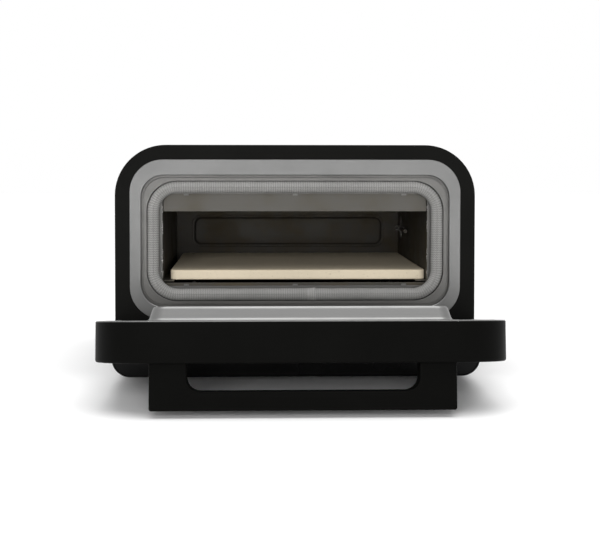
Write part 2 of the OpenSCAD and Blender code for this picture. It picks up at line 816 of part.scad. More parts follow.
// Two ledges along the walls that carry the stone
module stone_rails() color("#6a6864") rest() for (s = [-1, 1]) {
    foot_x = s * (cav_half - rail_t / 2);
    ledge_x = s * (cav_half - rail_ledge / 2);
    translate([foot_x, 0, 0]) box([-rail_t / 2, rail_y0, floor_z], [rail_t / 2, rail_y1, stone_z]);
    translate([ledge_x, 0, 0]) box([-rail_ledge / 2, rail_y0, stone_z - rail_t],
        [rail_ledge / 2, rail_y1, stone_z]);
}

// Baking stone, loose on its ledges
module pizza_stone() color("#c9bda3") rest() translate([0, 0, stone_z]) linear_extrude(stone_t)
    translate([(stone_x0 + stone_x1) / 2, 0])
    round_rect(stone_x1 - stone_x0, stone_y0, stone_y1, stone_r, stone_r);

// Heating elements, in from the back, round the cavity and out again
module upper_element() color("#3a3836") rest() translate([0, 0, rod_top_z]) bent_rod(rod_path, rod_r, rod_bend);

module lower_element() color("#3a3836") rest() translate([0, 0, rod_low_z]) bent_rod(rod_path, rod_r, rod_bend);

// Strap round an element tube with one leg, from z0 to z1
module element_clip(x, y, rod_z, z0, z1) difference() {
    union() {
        box([x - clip_t / 2, y - clip_w / 2, z0], [x + clip_t / 2, y + clip_w / 2, z1]);
        bar_y(y - clip_w / 2, y + clip_w / 2, x, rod_z, rod_r + clip_t / 2);
    }
    bar_y(y - clip_w, y + clip_w, x, rod_z, rod_r);
}

// Straps that hang the upper element and stand the lower one
module element_clips() color("#7a7874") rest()
    for (x = [-rod_half_w, rod_half_w], y = [rod_y0 + clip_end, rod_y1 - clip_end]) {
        element_clip(x, y, rod_top_z, rod_top_z, cav_z1);
        element_clip(x, y, rod_low_z, floor_z, rod_low_z);
    }

// Ceramic beads and blade tabs on the four element ends
module element_terminals() color("#d8d4c8") rest() for (s = [-1, 1], z = [rod_top_z, rod_low_z]) {
    x = s * rod_end_x;
    difference() {
        bar_y(blanket_back_y, rod_end_y, x, z, rod_r + terminal_wall);
        bar_y(blanket_back_y - cut, rod_end_y + cut, x, z, rod_r + pin_fit);
    }
    box([x - terminal_half_w, rod_end_y, z - terminal_half_t],
        [x + terminal_half_w, rod_end_y + terminal_len, z + terminal_half_t]);
}

// Insulation

module insulation_top() color("#d9d2bd") rest() box([-cav_out, cav_y0, cav_z1 + wall_t],
    [cav_out, cav_y1 + wall_t, cav_z1 + wall_t + blanket_top]);

module insulation_bottom() color("#d9d2bd") rest() box([-cav_out, cav_y0, floor_z - wall_t - blanket_low],
    [cav_out, cav_y1 + wall_t, floor_z - wall_t]);

module insulation_left() color("#d9d2bd") rest() box([-cav_out - blanket_side, cav_y0, floor_z - wall_t],
    [-cav_out, cav_y1 + wall_t, cav_z1 + wall_t]);

// Right blanket, with a pocket for the cut-out and a hole for the probe's tube
module insulation_right() color("#d9d2bd") rest() difference() {
    box([cav_out, cav_y0, floor_z - wall_t], [cav_out + blanket_side, cav_y1 + wall_t, cav_z1 + wall_t]);
    bar_x(cav_out - cut, cav_out + blanket_side + cut, probe_y1 - probe_r, probe_z, capillary_r + rod_clear);
    bar_x(cav_out - cut, cav_out + blanket_side + cut, cutout_y, cutout_z, cutout_r + 1);
}

module insulation_back() color("#d9d2bd") rest() difference() {
    box([-cav_out, cav_y1 + wall_t, floor_z - wall_t], [cav_out, blanket_back_y, cav_z1 + wall_t]);
    for (s = [-1, 1], z = [rod_top_z, rod_low_z])
        bar_y(cav_y1, blanket_back_y + cut, s * rod_end_x, z, rod_r + rod_clear);
}

// Sensing and control

// Sensing bulb along the right wall, with its thin tube out through the wall
module thermostat_probe() color("#9c9a94") rest() {
    bar_y(probe_y0, probe_y1, probe_x, probe_z, probe_r);
    translate([0, 0, probe_z]) bent_rod([[probe_x, probe_y1 - probe_r], [capillary_x, probe_y1 - probe_r],
        [capillary_x, capillary_y], [half_inner - control_depth, capillary_y]], capillary_r, capillary_bend);
}

// Plate with round ends and two clips that hold the bulb off the wall
module probe_bracket() color("#55534f") rest() {
    y = bracket_y;
    wall_x = cav_half - wall_plate_t;
    z0 = probe_z - wall_plate_half;
    z1 = probe_z + wall_plate_half;
    difference() {
        union() {
            box([wall_x, y - wall_plate_r, z0], [cav_half, y + wall_plate_r, z1]);
            for (z = [z0, z1]) bar_x(wall_x, cav_half, y, z, wall_plate_r);
        }
        for (z = [z0, z1]) bar_x(wall_x - cut, cav_half + cut, y, z, wall_plate_hole_r);
    }
    for (dy = [-clip_pitch, 0]) difference() {
        union() {
            box([probe_x, y + dy - clip_half, probe_z - clip_r],
                [dy == 0 ? wall_x : cav_half, y + dy + clip_half, probe_z + clip_r]);
            bar_y(y + dy - clip_half, y + dy + clip_half, probe_x, probe_z, clip_r);
        }
        bar_y(y + dy - clip_half - cut, y + dy + clip_half + cut, probe_x, probe_z, probe_r + pin_fit);
    }
}

// Plate on the right side that carries the two knobs and the lamp
module control_plate() color("#8e8e8c") rest() difference() {
    translate([half_w, control_y, 0]) rotate([0, 0, 90]) slab(-plate_t, 0)
        round_rect(plate_w, plate_mid_z - plate_h / 2, plate_mid_z + plate_h / 2, plate_r, plate_r);
    for (z = control_zs) bar_x(half_w - cut, plate_x + cut, control_y, z, neck_r + seat_gap);
    bar_x(half_w - cut, plate_x + cut, control_y, plate_mid_z, lamp_r + seat_gap);
    for (p = plate_screw_places) bar_x(half_w - cut, plate_x + cut, p.x, p.y, screw_r + screw_clear);
}

module control_screws() color("#9a9a98") rest() for (p = plate_screw_places)
    translate([plate_x, p.x, p.y]) rotate([0, 90, 0]) screw(plate_t);

// Switch body behind the shell with a round neck through shell and plate
module control_body(z) rest() difference() {
    union() {
        bar_x(half_inner - control_depth, half_inner, control_y, z, control_r);
        bar_x(half_inner, plate_x, control_y, z, neck_r);
        for (y = [control_y - control_tab_y, control_y + control_tab_y])
            box([half_inner - control_depth - control_tab_len, y - terminal_half_t, z - control_tab_half],
                [half_inner - control_depth, y + terminal_half_t, z + control_tab_half]);
    }
    bar_x(half_inner - spindle_seat - cut, plate_x + cut, control_y, z, spindle_r + pin_fit);
}

module thermostat() color("#c8c4b8") control_body(temperature_z);

module timer() color("#c8c4b8") control_body(timer_z);

// Round spindle from the switch body out into the knob
module control_spindle(z) rest() bar_x(half_inner - spindle_seat, knob_tip - knob_roof,
    control_y, z, spindle_r);

module temperature_spindle() color("#b0b0ae") control_spindle(temperature_z);

module timer_spindle() color("#b0b0ae") control_spindle(timer_z);

// Knob with a wide skirt, a narrower grip and a raised pointer rib
module control_knob(z) rest() difference() {
    union() {
        bar_x(knob_x, knob_x + skirt_t, control_y, z, knob_r);
        bar_x(knob_x + skirt_t, knob_tip - grip_drop, control_y, z, knob_r - grip_inset);
        box([knob_x + skirt_t, control_y - rib_half_w, z - knob_r + rib_inset],
            [knob_tip, control_y + rib_half_w, z + knob_r - rib_inset]);
    }
    bar_x(knob_x - cut, knob_tip - knob_roof + pin_fit, control_y, z, spindle_r + pin_fit);
}

module temperature_knob() color("#141414") control_knob(temperature_z);

module timer_knob() color("#141414") control_knob(timer_z);

// Domed lamp between the knobs
module indicator_lamp() color("#c8321e") rest() {
    bar_x(half_w, plate_x + lamp_stand, control_y, plate_mid_z, lamp_r);
    bar_x(plate_x, plate_x + lamp_bezel, control_y, plate_mid_z, lamp_r + lamp_bezel);
    translate([plate_x + lamp_stand, control_y, plate_mid_z]) rotate([0, 90, 0])
        cylinder(h = lamp_dome_h, r1 = lamp_r, r2 = lamp_r - lamp_bezel);
}

// Power

// Three-pin appliance inlet in the back panel
module power_inlet() color("#151515") rest() difference() {
    union() {
        box([inlet_x - inlet_w / 2 + seat_gap, shell_back - inlet_deep, inlet_z - inlet_h / 2 + seat_gap],
            [inlet_x + inlet_w / 2 - seat_gap, body_d + inlet_rim, inlet_z + inlet_h / 2 - seat_gap]);
        box([inlet_x - inlet_w / 2 - inlet_lap_x, body_d, inlet_z - inlet_h / 2 - inlet_lap_z],
            [inlet_x + inlet_w / 2 + inlet_lap_x, body_d + inlet_rim, inlet_z + inlet_h / 2 + inlet_lap_z]);
    }
    difference() {
        box([inlet_x - socket_half_w, shell_back - socket_deep, inlet_z - socket_half_h],
            [inlet_x + socket_half_w, body_d + inlet_rim + cut, inlet_z + socket_half_h]);
        for (i = [-1, 0, 1]) {
            x = inlet_x + i * socket_pin_pitch;
            z = inlet_z + (i == 0 ? -socket_pin_rise : socket_pin_rise);
            box([x - socket_pin_half, shell_back - socket_deep - cut, z - socket_pin_h / 2],
                [x + socket_pin_half, shell_back - socket_pin_reach, z + socket_pin_h / 2]);
        }
    }
}

// Screw terminal block on the base tray
module terminal_block() color("#e4e0d4") rest() difference() {
    box([inlet_x - block_w / 2, block_y, block_z],
        [inlet_x + block_w / 2, block_y + block_d, block_z + block_h]);
    for (i = [-1, 0, 1]) bar_y(block_y - cut, block_y + block_d + cut, inlet_x + i * lead_pitch,
        block_hole_z, block_hole_r);
}

// Sleeved leads from the inlet to the block, and from the block up to the controls
module wiring_loom() color("#b9a27a") rest() {
    translate([inlet_x - lead_pitch, 0, 0]) rotate([90, 0, 90]) bent_rod([[shell_back - inlet_deep, lead_z],
        [loom_y, lead_z], [loom_y, block_z + block_h]], loom_r, lead_bend);
    translate([0, 0, loom_z]) bent_rod([[inlet_x, loom_y], [loom_x, loom_y],
        [loom_x, loom_y - 2 * loom_bend]], loom_r, loom_bend);
    translate([loom_x, 0, 0]) rotate([90, 0, 90]) bent_rod([[loom_y - 2 * loom_bend, loom_z],
        [control_y, loom_z], [control_y, loom_top]], loom_r, loom_bend);
}

// Round over-heat cut-out, pressed against the cavity's right wall
module thermal_cutout() color("#2a2a2a") rest() {
    tab_x = cav_out + cutout_h;
    bar_x(cav_out, tab_x, cutout_y, cutout_z, cutout_r);
    for (y = [cutout_y - cutout_tab_y, cutout_y + cutout_tab_y])
        box([tab_x, y - cutout_tab_half, cutout_z - terminal_half_t],
            [tab_x + cutout_tab_len, y + cutout_tab_half, cutout_z + terminal_half_t]);
}

// Hinge

// Side profile of a hinge ear, round about the axis
module ear(x, r, y1) {
    box([x - ear_t / 2, hinge_y, hinge_z - r], [x + ear_t / 2, y1, hinge_z + r]);
    bar_x(x - ear_t / 2, x + ear_t / 2, hinge_y, hinge_z, r);
}

// Ears through the front face, each on a flange behind it
module hinge_brackets() color("#7c7c7a") rest() for (x = ear_places) difference() {
    union() {
        ear(x, ear_r, fascia_t + bracket_t);
        box([x - bracket_half, fascia_t, hinge_z - bracket_low],
            [x + bracket_half, fascia_t + bracket_t, hinge_z + bracket_high]);
    }
    bar_x(x - ear_t, x + ear_t, hinge_y, hinge_z, pin_r);
    for (s = [-1, 1]) bar_y(fascia_t - cut, fascia_t + bracket_t + cut, x + s * bracket_screw_x,
        bracket_screw_z, screw_r + screw_clear);
}

module hinge_screws() color("#9a9a98") rest() for (x = ear_places, s = [-1, 1])
    translate([x + s * bracket_screw_x, fascia_t + bracket_t, bracket_screw_z])
    rotate([-90, 0, 0]) screw(bracket_t);

// Steel pins pressed through the ears
module hinge_pins() color("#b8b8b6") rest() for (x = ear_places)
    bar_x(x - ear_t / 2 - pin_len, x + ear_t / 2 + pin_len, hinge_y, hinge_z, pin_r);

// Rubber buttons on the plinth that the open door rests on
module door_bumpers() color("#111111") rest() for (s = [-1, 1]) {
    nearest = hinge_y - bumper_y - bumper_r;
    door_under = hinge_z - end_r / cos(open_tilt) + nearest * tan(open_tilt);
    bar_z(plinth_z1, door_under - bumper_gap, s * bumper_x, bumper_y, bumper_r);
}

// Door

// Outline of the door seen from the front, down to the hinge axis or lower
module door_outline(inset = 0, low = 0) round_rect(door_w - 2 * inset, low == 0 ? hinge_z : low,
    door_top - inset, door_r - inset, 0.01);

// Side profile of the skin: flat above the axis and round about it below
module skin_body(inset, liner_side) intersection() {
    slab(door_front + inset, -door_gap) door_outline(inset, hinge_z - end_r + inset);
    union() {
        box([-door_w, door_front + inset, hinge_z], [door_w, liner_side, door_top]);
        intersection() {
            bar_x(-door_w, door_w, hinge_y, hinge_z, end_r - inset);
            box([-door_w, door_front, 0], [door_w, 0, hinge_z]);
        }
    }
}

// Room that a hinge ear sweeps through in the door's lower end
module ear_notches() for (x = ear_places) box(
    [x - ear_t / 2 - ear_clear, hinge_y - ear_r - ear_clear, 0],
    [x + ear_t / 2 + ear_clear, 1, hinge_z + ear_r + ear_clear]);

// Painted outer skin with its window opening
module door_skin() color("#191917") door() difference() {
    union() {
        difference() {
            skin_body(0, liner_y);
            skin_body(skin_t, liner_y + cut);
        }
        for (p = liner_screw_places) bar_y(outer_glass_y, liner_y, p.x, p.y, boss_r);
    }
    for (p = liner_screw_places) bar_y(liner_y - boss_hole, liner_y + cut, p.x, p.y, screw_r);
    slab(door_front - cut, door_front + skin_t + cut) round_rect(window_w + 2 * outer_extra,
        pan_mid_z - window_h / 2 - outer_extra, pan_mid_z + window_h / 2 + outer_extra,
        window_r + opening_round, window_r + opening_round);
    ear_notches();
    for (s = [-1, 1], t = [-1, 1]) bar_y(door_front - cut, door_front + skin_t + cut,
        s * leg_x + t * handle_screw_x, handle_mid_z, screw_r + screw_clear);
}

// Raised pan, wider at its foot, between two depths of the sheet
module pan_solid(inset, y0, y1) hull() {
    slab(y0, y0 + 0.01) round_rect(2 * (pan_half_w - inset), pan_z0 + inset, pan_z1 - inset,
        pan_r - inset, pan_r - inset, $fn = 32);
    slab(y1 - 0.01, y1) round_rect(2 * (pan_half_w - pan_slope - inset), pan_z0 + pan_slope + inset,
        pan_z1 - pan_slope - inset, pan_r - inset, pan_r - inset, $fn = 32);
}

// Steel inner sheet with the raised pan and its window opening
module door_liner() color("#a8a8a4") door() difference() {
    union() {
        slab(liner_y, -door_gap) door_outline(liner_inset);
        pan_solid(0, -door_gap - 0.5, pan_front);
    }
    pan_solid(liner_t, liner_y - cut, pan_front - liner_t);
    slab(0, pan_front + cut) round_rect(window_w, pan_mid_z - window_h / 2, pan_mid_z + window_h / 2,
        window_r, window_r);
    ear_notches();
    for (p = liner_screw_places) bar_y(liner_y - cut, 0, p.x, p.y, screw_r + screw_clear);
}

// Blanket between skin and sheet, open for the window and clear of the hinge
module door_insulation() color("#d9d2bd") door() difference() {
    slab(outer_glass_y, liner_y) round_rect(door_w - 2 * skin_t - 2 * blanket_side_gap,
        hinge_z + hinge_block_h + blanket_clear, handle_z1 - blanket_drop, blanket_r_top, blanket_r_low);
    slab(outer_glass_y - cut, liner_y + cut) round_rect(duct_w + 2 * duct_t, pan_mid_z - duct_h / 2 - duct_t,
        pan_mid_z + duct_h / 2 + duct_t, window_r, window_r);
    slab(outer_glass_y - cut, outer_glass_y + glass_t) pane_outline(outer_extra + 1);
}

// Outline of a pane, grown by an even distance
module pane_outline(extra = 0) round_rect(window_w + 2 * (glass_lap + extra),
    pan_mid_z - window_h / 2 - glass_lap - extra, pan_mid_z + window_h / 2 + glass_lap + extra,
    pane_r, pane_r);

// Thin duct that keeps the window clear between its panes
module window_duct() color("#8a8884") door() difference() {
    slab(outer_glass_y + glass_t, inner_glass_y) round_rect(duct_w + 2 * duct_t,
        pan_mid_z - duct_h / 2 - duct_t, pan_mid_z + duct_h / 2 + duct_t, window_r, window_r);
    slab(outer_glass_y, inner_glass_y + cut) round_rect(duct_w, pan_mid_z - duct_h / 2,
        pan_mid_z + duct_h / 2, window_r - duct_t, window_r - duct_t);
}

module outer_glass() color("#303436", 0.5) door()
    slab(outer_glass_y, outer_glass_y + glass_t) pane_outline(outer_extra);

// The inner pane fills the pan's height but for a clearance
module inner_glass() color("#404446", 0.5) door()
    slab(inner_glass_y, inner_glass_y + glass_t) round_rect(window_w + 2 * glass_lap,
    pan_z0 + pan_slope + liner_t + pane_clear, pan_z1 - pan_slope - liner_t - pane_clear, pane_r, pane_r);

// Blocks inside the door's lower end, one on each side of each ear
module door_hinge_blocks() color("#8e8e8c") door() difference() {
    for (x = ear_places, s = [-1, 1]) {
        near = x + s * (ear_t / 2 + ear_clear);
        far = near + s * hinge_block_w;
        intersection() {
            box([min(near, far), hinge_y - hinge_block_r, hinge_z - hinge_block_r],
                [max(near, far), liner_y, hinge_z + hinge_block_h]);
            union() {
                bar_x(-half_w, half_w, hinge_y, hinge_z, hinge_block_r);
                box([-half_w, hinge_y - hinge_block_r, hinge_z], [half_w, liner_y, hinge_z + hinge_block_h]);
            }
        }
    }
    for (x = ear_places) bar_x(x - ear_inset, x + ear_inset, hinge_y, hinge_z, pin_r + pin_fit + bush_t);
}

// Plain bushes that run on the hinge pins
module hinge_bushes() color("#c9a24a") door() difference() {
    for (x = ear_places, s = [-1, 1]) {
        near = x + s * (ear_t / 2 + ear_clear);
        far = near + s * hinge_block_w;
        bar_x(min(near, far), max(near, far), hinge_y, hinge_z, pin_r + pin_fit + bush_t);
    }
    for (x = ear_places) bar_x(x - ear_inset, x + ear_inset, hinge_y, hinge_z, pin_r + pin_fit);
}

// Wide bar handle on two legs, with a finger slot behind the bar
module door_handle() color("#171716") door() difference() {
    translate([0, 0, handle_z0]) linear_extrude(handle_h) difference() {
        round_rect(handle_w, door_front - handle_reach, door_front, 0.5, handle_corner_r);
        translate([-slot_half, door_front - slot_depth + handle_slot_r])
            square([2 * slot_half, slot_depth - handle_slot_r + cut]);
        translate([handle_slot_r - slot_half, door_front - slot_depth])
            square([2 * (slot_half - handle_slot_r), slot_depth]);
        for (s = [-1, 1]) translate([s * (slot_half - handle_slot_r), door_front - slot_depth + handle_slot_r])
            circle(handle_slot_r);
    }
    for (s = [-1, 1], t = [-1, 1]) bar_y(door_front - handle_screw_len - 2, door_front + cut,
        s * leg_x + t * handle_screw_x, handle_mid_z, screw_r);
}

// Screws from inside the skin into the handle's legs
module handle_screws() color("#8a8a8a") door() for (s = [-1, 1], t = [-1, 1])
    translate([s * leg_x + t * handle_screw_x, door_front + skin_t, handle_mid_z])
    rotate([-90, 0, 0]) screw(handle_screw_len);

// Low-headed screws that hold the inner sheet to the bosses of the skin
module door_screws() color("#9a9a98") door() for (p = liner_screw_places) {
    translate([p.x, -door_gap, p.y]) rotate([-90, 0, 0]) cylinder(h = door_gap / 2.5, r = screw_head_r);
    bar_y(liner_y - boss_hole + 2, -door_gap + 0.1, p.x, p.y, screw_r);
}

outer_shell();
front_fascia();
front_plinth();
base_pan();
back_panel();
feet();
foot_screws();
shell_screws();
front_frame();
gasket_channel();
door_gasket();
gasket_sleeve();
mouth_tabs();
heat_shield();
cavity_floor();
cavity_ceiling();
cavity_left_wall();
cavity_right_wall();
cavity_back_wall();
stone_rails();
pizza_stone();
upper_element();
lower_element();
element_clips();
element_terminals();
insulation_top();
insulation_bottom();
insulation_left();
insulation_right();
insulation_back();
thermostat_probe();
probe_bracket();
control_plate();
control_screws();
thermostat();
timer();
temperature_spindle();
timer_spindle();
temperature_knob();
timer_knob();
indicator_lamp();
power_inlet();
terminal_block();
wiring_loom();
thermal_cutout();
hinge_brackets();
hinge_screws();
hinge_pins();
door_bumpers();
door_skin();
door_liner();
door_insulation();
window_duct();
outer_glass();
inner_glass();
door_hinge_blocks();
hinge_bushes();
door_handle();
handle_screws();
door_screws();
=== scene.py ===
import json
import math

import bmesh
import bpy
import numpy as np
from bpy.props import FloatProperty, FloatVectorProperty, IntProperty, PointerProperty
from bpy.types import Operator, Panel, PropertyGroup
from mathutils import Matrix, Vector

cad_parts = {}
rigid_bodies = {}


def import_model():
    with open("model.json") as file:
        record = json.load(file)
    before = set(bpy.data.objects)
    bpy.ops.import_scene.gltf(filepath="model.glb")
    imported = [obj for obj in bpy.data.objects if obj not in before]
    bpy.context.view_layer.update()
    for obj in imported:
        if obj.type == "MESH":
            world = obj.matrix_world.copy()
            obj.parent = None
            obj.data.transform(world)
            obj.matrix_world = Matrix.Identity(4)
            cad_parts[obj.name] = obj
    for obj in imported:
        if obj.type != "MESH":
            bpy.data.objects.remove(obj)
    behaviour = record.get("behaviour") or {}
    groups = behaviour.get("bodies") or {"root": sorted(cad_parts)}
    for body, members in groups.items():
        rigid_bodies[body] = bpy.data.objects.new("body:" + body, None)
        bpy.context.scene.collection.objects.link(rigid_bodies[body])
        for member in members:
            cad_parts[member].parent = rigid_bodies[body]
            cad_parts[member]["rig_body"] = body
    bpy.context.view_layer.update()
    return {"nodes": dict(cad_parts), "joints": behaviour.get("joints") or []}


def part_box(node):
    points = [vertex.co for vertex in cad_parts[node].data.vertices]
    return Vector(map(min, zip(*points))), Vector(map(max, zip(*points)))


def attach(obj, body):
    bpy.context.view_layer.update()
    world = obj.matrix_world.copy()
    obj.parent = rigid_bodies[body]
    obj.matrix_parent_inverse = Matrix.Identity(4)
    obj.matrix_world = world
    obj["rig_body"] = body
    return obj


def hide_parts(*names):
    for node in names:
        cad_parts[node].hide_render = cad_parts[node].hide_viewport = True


bl_info = {
    "name": "Countertop Pizza Oven",
    "version": (1, 0, 0),
    "blender": (4, 5, 0),
    "location": "View3D > Sidebar > Pizza Oven",
    "description": "Detailed pieces and finishes of a countertop pizza oven with a drop-down door",
    "category": "Object",
}

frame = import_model()


def spans(node):
    """Lowest and highest corner of a CAD node, as arrays in metres."""
    low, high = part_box(node)
    return np.array(low), np.array(high)


# Places that everything is worked out from. A point on the body is given from the middle of the front face,
# with z from the table, and a point on the door is given with the door shut.
SHELL_LOW, SHELL_HIGH = spans("outer_shell")
MID_X = (SHELL_LOW[0] + SHELL_HIGH[0]) / 2
FACE_Y = spans("front_fascia")[0][1]
HALF_W = (SHELL_HIGH[0] - SHELL_LOW[0]) / 2
TOP_Z = SHELL_HIGH[2]
BASE_Z = spans("base_pan")[0][2]
HINGE = next(j for j in frame["joints"] if j["name"] == "door_hinge")
HINGE_Y = HINGE["pos_m"][1] - FACE_Y
HINGE_Z = HINGE["pos_m"][2]
SWING = math.radians(max(HINGE["range_deg"]))
ARC_STEPS = 14

EAR_X = 0.190
DOOR_HALF_W = HALF_W + 0.0015
DOOR_TOP = TOP_Z + 0.0015
DOOR_T = 0.044
HANDLE_HALF_W = (spans("door_handle")[1][0] - spans("door_handle")[0][0]) / 2
HANDLE_REACH = 0.0493
HANDLE_Z = (0.256, 0.280)
SCREW_R = 0.0036
SCREW_H = 0.002

# Sizes of features inside the CAD solids that their boxes don't give
SIZES = {
    "sheet": 0.0012, "fascia": 0.0015, "flange": 0.012, "gap": 0.0002, "lap": 0.046,
    "rim_half_w": 0.1883, "rim_low": 0.089, "rim_high": 0.2495, "mouth_low": 0.1131,
    "channel_floor": 0.0154, "lip_y": 0.0166,
    "rope_half_w": 0.174, "rope_low": 0.1033, "rope_high": 0.2352, "rope_y": 0.0079,
    "pan_half_w": 0.1658, "pan_low": 0.1141, "pan_high": 0.2270, "pan_r": 0.016, "pan_slope": 0.005,
    "window_half_w": 0.118, "window_half_h": 0.029, "window_z": 0.17055, "window_r": 0.010,
    "opening_more": 0.007, "opening_r": 0.014, "ear_half": 0.003, "ear_reach": 0.009,
    "slot_half": 0.1215, "slot_depth": 0.0289, "slot_r": 0.014, "handle_r": 0.0025, "pan_rise": 0.0146,
    "groove_y": 0.0060, "groove_end": 0.0030, "ledge_y": 0.0030, "ledge_end": 0.0067, "under_frame": 0.0070,
    "emboss_half_w": 0.1415, "emboss_z": 0.1637, "emboss_half_h": 0.0235, "emboss_r": 0.0125,
    "emboss_depth": 0.0008, "element_half": 0.032, "element_hole": 0.00365,
}


class OvenSizes(PropertyGroup):
    """Radii and small sizes of the sheet metal, the rope and the stone"""

    top_corner: FloatProperty(name="Top Corner", description="Radius of the body's upper corners",
                              default=0.062, min=0.03, max=0.09, unit="LENGTH")
    low_corner: FloatProperty(name="Lower Corner", description="Radius of the body's lower corners",
                              default=0.022, min=0.01, max=0.03, unit="LENGTH")
    frame_corner: FloatProperty(name="Frame Corner", description="Outer corner radius of the steel frame",
                                default=0.040, min=0.02, max=0.05, unit="LENGTH")
    rim_corner: FloatProperty(name="Rim Corner", description="Corner radius of the opening in the frame",
                              default=0.0275, min=0.015, max=0.035, unit="LENGTH")
    rope_corner: FloatProperty(name="Rope Corner", description="Corner radius of the rope's centreline",
                               default=0.030, min=0.02, max=0.04, unit="LENGTH")
    rope_radius: FloatProperty(name="Rope Radius", description="Radius of the seal rope",
                               default=0.0074, min=0.005, max=0.009, unit="LENGTH")
    knit_course: FloatProperty(name="Knit Course", description="Length of one course of the rope's knit",
                               default=0.0028, min=0.001, max=0.006, unit="LENGTH")
    knit_wales: IntProperty(name="Knit Wales", description="Stitches around the rope", default=20, min=12,
                            max=60)
    rope_tilt: FloatProperty(name="Rope Tilt", description="Turn of the rope about itself",
                             default=0.0, subtype="ANGLE")
    stone_edge: FloatProperty(name="Stone Edge", description="Rounding of the stone's edges",
                              default=0.0016, min=0.0005, max=0.004, unit="LENGTH")
    fold_radius: FloatProperty(name="Fold Radius", description="Rounding of the folded sheet edges",
                               default=0.0014, min=0.0003, max=0.003, unit="LENGTH")
    door_edge: FloatProperty(name="Door Edge", description="Rounding around the door's outer face",
                             default=0.003, min=0.001, max=0.006, unit="LENGTH")
    pan_fillet: FloatProperty(name="Pan Fillet", description="Fillet along the pan of the inner sheet",
                              default=0.0036, min=0.001, max=0.006, unit="LENGTH")
    handle_edge: FloatProperty(name="Handle Edge", description="Rounding of the handle's edges",
                               default=0.0022, min=0.0005, max=0.005, unit="LENGTH")


class OvenColours(PropertyGroup):
    """Base colours of the finishes, as linear values"""

    black_paint: FloatVectorProperty(name="Black Paint", description="Satin paint of the body and the door",
                                     subtype="COLOR", default=(0.0044, 0.0044, 0.0040))
    gloss_black: FloatVectorProperty(name="Gloss Black", description="Enamel of the plinth",
                                     subtype="COLOR", default=(0.003, 0.003, 0.003))
    frame_steel: FloatVectorProperty(name="Frame Steel", description="Satin steel around the mouth",
                                     subtype="COLOR", default=(0.235, 0.235, 0.232))
    channel_steel: FloatVectorProperty(name="Channel Steel", description="Dull steel of the rope's channel",
                                       subtype="COLOR", default=(0.19, 0.187, 0.18))
    cavity_steel: FloatVectorProperty(name="Cavity Steel", description="Heat-darkened steel in the cavity",
                                      subtype="COLOR", default=(0.085, 0.080, 0.071))
    shield_steel: FloatVectorProperty(name="Shield Steel", description="Heat-tinted steel of the shield",
                                      subtype="COLOR", default=(0.115, 0.110, 0.100))
    liner_steel: FloatVectorProperty(name="Liner Steel", description="Satin steel on the inside of the door",
                                     subtype="COLOR", default=(0.205, 0.205, 0.202))
    rope: FloatVectorProperty(name="Rope", description="Knitted glass fibre", subtype="COLOR",
                              default=(0.185, 0.183, 0.177))
    stone: FloatVectorProperty(name="Stone", description="Unglazed baking stone", subtype="COLOR",
                               default=(0.52, 0.455, 0.345))
    blanket: FloatVectorProperty(name="Blanket", description="Insulation fibre", subtype="COLOR",
                                 default=(0.66, 0.62, 0.52))
    knob: FloatVectorProperty(name="Knob", description="Black moulding of knobs and inlet", subtype="COLOR",
                              default=(0.010, 0.010, 0.010))


def sizes():
    """The sizes that the scene holds."""
    return bpy.context.scene.oven_sizes


def colours():
    """The colours that the scene holds."""
    return bpy.context.scene.oven_colours


# Shader nodes


def add_node(tree, kind, inputs=None, **settings):
    """Adds a node, sets its options, and fills its inputs with values or links."""
    node = tree.nodes.new(kind)
    for name, value in settings.items():
        setattr(node, name, value)
    for key, value in (inputs or {}).items():
        if isinstance(value, bpy.types.NodeSocket):
            tree.links.new(value, node.inputs[key])
        else:
            node.inputs[key].default_value = value
    return node


def math_node(tree, operation, a, b=0.0, clamp=False):
    """Output of a math node."""
    return add_node(tree, "ShaderNodeMath", {0: a, 1: b}, operation=operation, use_clamp=clamp).outputs[0]


def remap(tree, value, low, high, to_low=0.0, to_high=1.0):
    """Output of a clamped map from one range to another."""
    inputs = {"Value": value, "From Min": low, "From Max": high, "To Min": to_low, "To Max": to_high}
    return add_node(tree, "ShaderNodeMapRange", inputs).outputs["Result"]


def noise(tree, vector, scale, detail=3.0, roughness=0.5):
    """Output of a noise texture."""
    inputs = {"Vector": vector, "Scale": scale, "Detail": detail, "Roughness": roughness}
    return add_node(tree, "ShaderNodeTexNoise", inputs).outputs["Fac"]


def shader_group(name, takes, gives):
    """A new shader group with its inputs and outputs. takes and gives hold name, socket type and default."""
    tree = bpy.data.node_groups.new(name, "ShaderNodeTree")
    for label, kind, default in takes:
        socket = tree.interface.new_socket(label, in_out="INPUT", socket_type=kind)
        if default is not None:
            socket.default_value = default
    for label, kind in gives:
        tree.interface.new_socket(label, in_out="OUTPUT", socket_type=kind)
    return tree, tree.nodes.new("NodeGroupInput").outputs, tree.nodes.new("NodeGroupOutput").inputs


def paint_grain_group():
    """Fine orange peel of paint and the soft cloudiness of its gloss."""
    tree, given, out = shader_group(
        "Paint Grain",
        [("Vector", "NodeSocketVector", None), ("Peel Scale", "NodeSocketFloat", 900.0),
         ("Cloud Scale", "NodeSocketFloat", 14.0)],
        [("Peel", "NodeSocketFloat"), ("Cloud", "NodeSocketFloat")])
    peel = noise(tree, given["Vector"], given["Peel Scale"], 2.0, 0.6)
    cloud = noise(tree, given["Vector"], given["Cloud Scale"], 4.0, 0.55)
    tree.links.new(peel, out["Peel"])
    tree.links.new(remap(tree, cloud, 0.3, 0.7), out["Cloud"])
    return tree


